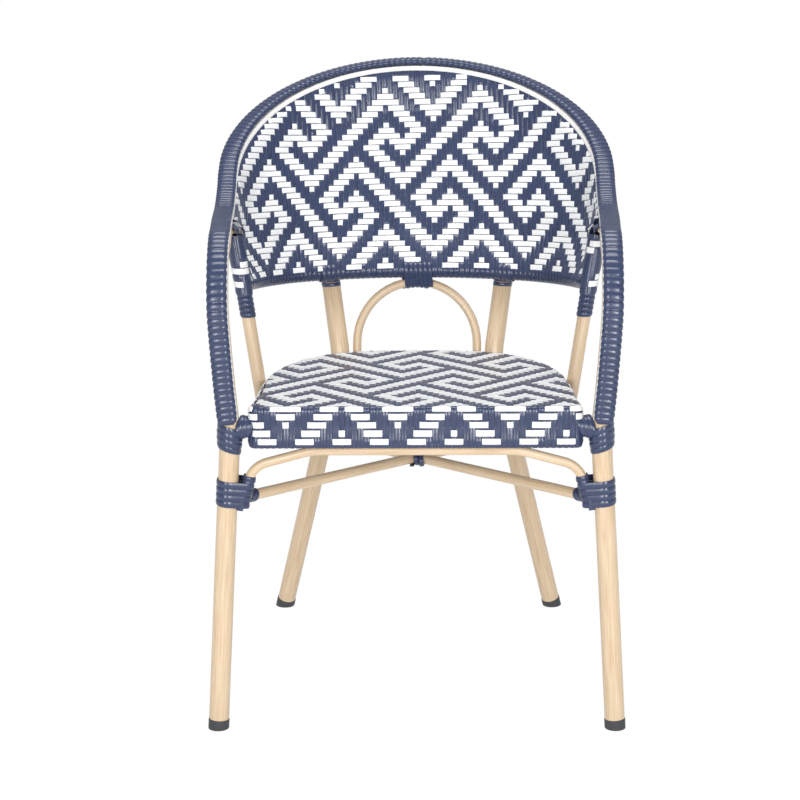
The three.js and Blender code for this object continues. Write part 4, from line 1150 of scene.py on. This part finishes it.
def deck_ends(c, at, lift):
    """Takes a navy strip over the seat's rear edge, and joins it to the apron's strip in front."""
    first = at[0] - (0.5 if at[0] < DECK_FIRST_ROW else 0.45)
    at = np.concatenate([[first], at, [at[-1] + 0.5, at[-1] + 0.9]])
    return at, np.concatenate([[0.2], lift, [0.2, -1.5]])


# The apron: a band of the same weave round the seat's edge
def seat_plan():
    """The seat's outline from above, once round from the middle of its front."""
    plan = [(0, SEAT_FRONT_Y), (100, SEAT_FRONT_Y)]
    for a in np.linspace(0, math.pi / 2, 14):
        x = SEAT_HALF_WIDTH - SEAT_CORNER_R * (1 - math.sin(a))
        plan.append((x, SEAT_FRONT_Y + SEAT_CORNER_R * (1 - math.cos(a))))
    power = 2 / SEAT_POWER
    width, depth = SEAT_HALF_WIDTH - SEAT_TAPER, SEAT_REAR_Y - SEAT_STRAIGHT_END
    for a in np.linspace(0, math.pi / 2, 70):
        x = width * math.cos(a) ** power if a < math.pi / 2 - 1e-6 else 0.0
        plan.append((x, SEAT_STRAIGHT_END + depth * math.sin(a) ** power))
    right = np.array(plan)
    left = right[1:-1][::-1] * (-1, 1)
    return np.vstack([right, left, right[:1]])


PLAN = seat_plan()
PLAN_D = lengths(PLAN)
APRON_COLUMNS = 2 * round(PLAN_D[-1] / 8.4 / 2)
APRON_PITCH = PLAN_D[-1] / APRON_COLUMNS
APRON_MIDDLE = 2.82
# The apron's section by row: how far in from the seat's edge, and how far down from its top
PROFILE_ROW = (-2.4, -1.3, -0.95, -0.7, 0, 1, 2, 3, 3.6, 3.95, 4.35, 4.9)
PROFILE = np.column_stack([
    (19, 6, 2.2, 0.5, 0.0, 1.5, 2.1, 0.5, 0.3, 1.0, 3.4, 10),
    (56.6, 57.8, 57.4, 55.2, 48.9, 37.2, 25.5, 13.9, 6.9, 3.4, 1.6, 1.7),
])


def apron_place(c, r, lift):
    c, r = np.asarray(c, float), np.asarray(r, float)
    s = ((c - APRON_MIDDLE) * APRON_PITCH) % PLAN_D[-1]
    on_edge = read_at(PLAN, PLAN_D, s)
    ahead, behind = (s + 2) % PLAN_D[-1], (s - 2) % PLAN_D[-1]
    way = read_at(PLAN, PLAN_D, ahead) - read_at(PLAN, PLAN_D, behind)
    size = np.sqrt(way[..., 0] * way[..., 0] + way[..., 1] * way[..., 1])
    inward = np.stack([-way[..., 1] / size, way[..., 0] / size], -1)
    profile = read_at(PROFILE, PROFILE_ROW, r)
    turn = read_at(PROFILE, PROFILE_ROW, r + 0.1) - read_at(PROFILE, PROFILE_ROW, r - 0.1)
    norm = np.sqrt(turn[..., 0] * turn[..., 0] + turn[..., 1] * turn[..., 1]) + 1e-9
    out, rise = -turn[..., 1] / norm, turn[..., 0] / norm
    off = profile[..., 0] + 1.0 - lift * out
    plan = on_edge + inward * off[..., None]
    z = seat_top(0) - SEAT_SLOPE * on_edge[..., 1] - profile[..., 1] + lift * rise
    return np.concatenate([plan, z[..., None]], -1)


apron_columns = list(range(3 - APRON_COLUMNS // 2, 3 + APRON_COLUMNS // 2))
APRON_ROWS = range(5)
APRON_BELOW = (-2.3, -1.6, -1.3, -1.05, -0.9, -0.75, -0.55)


def apron_lead(c, at, lift):
    """Takes a navy strip under the seat's lower edge, and up to the deck."""
    near_front = abs(c - APRON_MIDDLE) * APRON_PITCH < 216
    keep = at < (4.6 if near_front else 4.0)
    tail = 4.75 if near_front else 4.3
    lift = np.concatenate([np.full(len(APRON_BELOW), 0.3), lift[keep], [0.2]])
    return np.concatenate([APRON_BELOW, at[keep], [tail]]), lift


seat_navy, seat_white = Bundle(), Bundle()
weave(
    deck_place, deck_columns, deck_rows, DECK_ROWS, deck_columns_of,
    seat_navy, seat_white, deck_ends, thick=1.3, raise_by=1.25, half=0.4,
)
in_navy(seat_navy, "seat_deck_navy_strips", "seat_weave")
in_white(seat_white, "seat_deck_white_strips", "seat_weave")
apron_navy, apron_white = Bundle(), Bundle()
apron_ring = [apron_columns + [apron_columns[-1] + 1]]
weave(
    apron_place, apron_columns, lambda c: list(APRON_ROWS), APRON_ROWS, lambda r: apron_ring,
    apron_navy, apron_white, apron_lead, raise_by=1.0, half=0.37,
)
in_navy(apron_navy, "seat_apron_navy_strips", "seat_weave")
in_white(apron_white, "seat_apron_white_strips", "seat_weave")


# The lashings


def leg_axis(sign):
    """The way up a front leg."""
    return unit(point(sign * (CORNER_HALF_WIDTH - FOOT_HALF_WIDTH) / CORNER_HEIGHT, 0, 1))


def bound_side(name, mirror):
    """The windings of one side, laid on the right and mirrored for the left."""
    axis = leg_axis(1)
    inward = np.array((-axis[2], 0, axis[0]))
    lean = BRACE_LEAN - (FOOT_HALF_WIDTH - CORNER_HALF_WIDTH) / CORNER_HEIGHT
    lashing = Bundle(mirror)
    leg_low = point(leg_half_width(325), 0, 325)
    brace_low = point(leg_half_width(BRACE_END_Z) - BRACE_INSET - 7.3, 0, 350.5)

    def leg_and_brace(along):
        return (LEG_R, 0), (BRACE_R + GAP, BRACE_INSET + (along + 8) * lean)

    wind(lashing, leg_low, axis, inward, leg_and_brace, 4, 8.8, 9.1, start=0.75)
    wind(lashing, brace_low, point(-0.249, 0, 1), inward, single(BRACE_R), 2.1, 7.8, 6.2, start=0.5)
    tail = [point(237.5 + 0.35 * k, -BRACE_R - 2.6 - 0.25 * k, 335 - 3.4 * k) for k in range(6)]
    strip(lashing, tail, np.array((0.25, -1, 0)), 9.5)
    in_navy(lashing, "leg_lashing_strip_" + name, "leg_lashing_" + name)

    lashing = Bundle(mirror)
    leg_high = point(leg_half_width(401.5), 0, 401.5)
    stub_from = point(leg_half_width(STUB_HEIGHT) - 11, 3, STUB_HEIGHT - 4.5)

    def swollen(along):
        return ((LEG_R + 1.6 * math.sin(math.pi * min(along / 42, 1)), 0),) * 2

    def necked(along):
        return ((12.2 + 4.2 * math.exp(-along / 7), 0),) * 2

    wind(lashing, leg_high, axis, inward, swollen, 4.25, 9.4, 8.3, start=0.75, slant=-0.2, lift=1.5)
    wind(lashing, stub_from, point(-1, 0, 0.16), UP, necked, 3.3, 7.6, 5.4, start=0.75, slant=0.3)
    in_navy(lashing, "corner_lashing_strip_" + name, "corner_lashing_" + name)

    lashing = Bundle(mirror)
    wind(lashing, post_at(543), POST_TOP - POST_FOOT, BACKWARD, single(POST_R), 5.1, 7.2, 7.3)
    in_navy(lashing, "side_lashing_strip_" + name, "side_lashing_" + name)

    front, rear = halved
    axis = unit(rear - front)
    lashing = Bundle(mirror)
    cuff_from = front + axis * 20.5
    wind(lashing, cuff_from, axis, UP - axis * axis[2], single(STRETCHER_R), 2.4, 6.8, 6.8)
    in_navy(lashing, "stretcher_cuff_strip_" + name, "stretcher_cuff_" + name)

    rail_angle = math.asin(upright_at_rail[0] / RAIL_BACK_R)
    axis = np.array((math.cos(rail_angle), -math.sin(rail_angle), 0))
    drop = RAIL_BACK_R - math.sqrt(RAIL_BACK_R ** 2 - upright_at_rail[0] ** 2)
    middle = point(upright_at_rail[0], RAIL_BACK_Y - drop, RAIL_Z)
    lashing = Bundle(mirror)
    wind(lashing, middle - axis * 11, axis, UP, single(WRAPPED_R + 0.6), 3.1, 6.9, 7.1, start=0.5)
    wind(lashing, upright_at(541.5), UPRIGHT_WAY, BACKWARD, single(LEG_R), 2.1, 8.0, 6.8)
    in_navy(lashing, "post_lashing_strip_" + name, "post_lashing_" + name)


for side_name, sign in SIDES:
    bound_side(side_name, sign < 0)

ARCH_LASHING_HALF = 20.5


def rail_and_arch(along):
    """The arch falls away from the rail to both sides of its top."""
    aside = abs(along - ARCH_LASHING_HALF) + 3
    fallen = aside ** 2 * ARCH_RISE / (2 * ARCH_HALF_WIDTH * ARCH_HALF_WIDTH)
    return (WRAPPED_R + 0.6, 0), (ARCH_R + GAP, RAIL_Z - ARCH_TOP + fallen)


lashing = Bundle()
lashing_start = point(-ARCH_LASHING_HALF, RAIL_BACK_Y - 0.4, RAIL_Z)
wind(lashing, lashing_start, ACROSS, -UP, rail_and_arch, 5.9, 6.9, 7.1, start=0.75)
in_navy(lashing, "arch_lashing_strip", "arch_lashing")

CROSSING_LASHING_HALF = 7.4
cross_way = unit(through[1] - through[0])


def crossing_tubes(along):
    """The stretchers part to both sides of the crossing."""
    off = abs(along - CROSSING_LASHING_HALF) + 3.1
    apart = (off * cross_way[1] + STRETCHER_R / 2) / cross_way[0]
    return (STRETCHER_R + GAP, -apart), (STRETCHER_R + GAP, apart)


lashing = Bundle()
lashing_start = CROSSING - (CROSSING_LASHING_HALF, 0, 0)
wind(lashing, lashing_start, ACROSS, BACKWARD, crossing_tubes, 2.2, 6.8, 7.2, start=0.2)
in_navy(lashing, "crossing_lashing_strip", "stretcher_lashing")


# The foot caps

PLUG_R, PLUG_LENGTH, PLUG_RIM = 0.0146, 0.029, 0.0011


def foot_cap(name, end, way):
    """A moulded plug: a cylinder leaned to its leg, its rim rounded, cut level with the floor."""
    end, way = Vector(tuple(end)), Vector(tuple(way))
    middle = end - way * (CAP_HEIGHT - 0.35)
    middle = Vector((middle.x, middle.y - MIDDLE_Y, middle.z)) / 1000
    bpy.ops.object.select_all(action="DESELECT")
    bpy.ops.mesh.primitive_cylinder_add(vertices=40, radius=PLUG_R, depth=PLUG_LENGTH, location=middle)
    cap = bpy.context.object
    cap.name = name
    cap.rotation_mode = "QUATERNION"
    cap.rotation_quaternion = Vector((0, 0, 1)).rotation_difference(way)
    bpy.ops.object.transform_apply(location=True, rotation=True, scale=True)
    bpy.ops.object.mode_set(mode="EDIT")
    bpy.ops.mesh.select_all(action="SELECT")
    bpy.ops.mesh.bisect(plane_co=(0, 0, 0), plane_no=(0, 0, 1), use_fill=True, clear_inner=True)
    bpy.ops.object.mode_set(mode="OBJECT")
    bevel = cap.modifiers.new("rim", "BEVEL")
    bevel.width = PLUG_RIM
    bevel.segments = 3
    bevel.limit_method = "ANGLE"
    bevel.angle_limit = math.radians(40)
    bpy.ops.object.modifier_apply(modifier="rim")
    cap.data.materials.clear()
    cap.data.materials.append(PLASTIC)
    return cap


for side_name, sign in SIDES:
    axis = leg_axis(sign)
    end = point(sign * leg_half_width(CAP_HEIGHT), 0, CAP_HEIGHT)
    cap = foot_cap("foot_plug_front_" + side_name, end, axis)
    dress(cap, ["foot_cap_front_" + side_name], 40)
    line = rear_line() * (sign, 1, 1)
    cap = foot_cap("foot_plug_rear_" + side_name, line[0], unit(line[1] - line[0]))
    dress(cap, ["foot_cap_rear_" + side_name], 40)

# The tubes hidden in the weave keep the solids' shape
for name in ("seat_upper_ring", "seat_lower_ring", "back_rail"):
    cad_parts[name].data.materials.clear()
    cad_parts[name].data.materials.append(BAMBOO_HIDDEN)


# The floor, the surroundings and the lamps


def mixed(tree, share, first, second, out):
    mix = tree.nodes.new("ShaderNodeMixShader")
    tree.links.new(share, mix.inputs["Fac"])
    tree.links.new(first.outputs[0], mix.inputs[1])
    tree.links.new(second.outputs[0], mix.inputs[2])
    tree.links.new(mix.outputs[0], out.inputs["Surface"])


def set_floor():
    """A pale floor that the camera and glossy reflections see as white."""
    bpy.ops.object.select_all(action="DESELECT")
    bpy.ops.mesh.primitive_plane_add(size=30, location=(0, 0, -0.0005))
    floor = bpy.context.object
    floor.name = "floor"
    material = bpy.data.materials.new("white_floor")
    tree = cleared_tree(material)
    out = tree.nodes.new("ShaderNodeOutputMaterial")
    diffuse = node(tree, "ShaderNodeBsdfDiffuse", Color=(0.85, 0.85, 0.85, 1))
    glow = node(tree, "ShaderNodeEmission", Color=(1, 1, 1, 1), Strength=1.02)
    rays = tree.nodes.new("ShaderNodeLightPath")
    seen = node(tree, "ShaderNodeMath", operation="MULTIPLY")
    seen.inputs[1].default_value = 0.97
    either = node(tree, "ShaderNodeMath", operation="MAXIMUM")
    tree.links.new(rays.outputs["Is Camera Ray"], either.inputs[0])
    tree.links.new(rays.outputs["Is Glossy Ray"], either.inputs[1])
    tree.links.new(either.outputs[0], seen.inputs[0])
    mixed(tree, seen.outputs[0], diffuse, glow, out)
    floor.data.materials.append(material)


def set_world():
    world = bpy.data.worlds.new("studio")
    bpy.context.scene.world = world
    tree = cleared_tree(world)
    out = tree.nodes.new("ShaderNodeOutputWorld")
    soft = node(tree, "ShaderNodeBackground", Color=(1, 1, 1, 1), Strength=0.52)
    seen = node(tree, "ShaderNodeBackground", Color=(1, 1, 1, 1), Strength=1.0)
    rays = tree.nodes.new("ShaderNodeLightPath")
    mixed(tree, rays.outputs["Is Camera Ray"], soft, seen, out)


def softbox(name, place, aim, size, power):
    data = bpy.data.lights.new(name, "AREA")
    data.shape = "RECTANGLE"
    data.size, data.size_y = size
    data.energy = power
    lamp = bpy.data.objects.new(name, data)
    bpy.context.scene.collection.objects.link(lamp)
    lamp.location = place
    lamp.rotation_euler = (Vector(aim) - Vector(place)).to_track_quat("-Z", "Y").to_euler()


set_floor()
set_world()
softbox("left_light", (-0.95, -3.2, 1.05), (0, 0, 0.45), (0.45, 1.3), 33)
softbox("right_light", (0.95, -3.2, 1.05), (0, 0, 0.45), (0.45, 1.3), 38)
softbox("top_light", (0, 0.1, 2.9), (0, 0, 0.5), (1.6, 1.2), 33)

bpy.context.scene.view_settings.view_transform = "Standard"
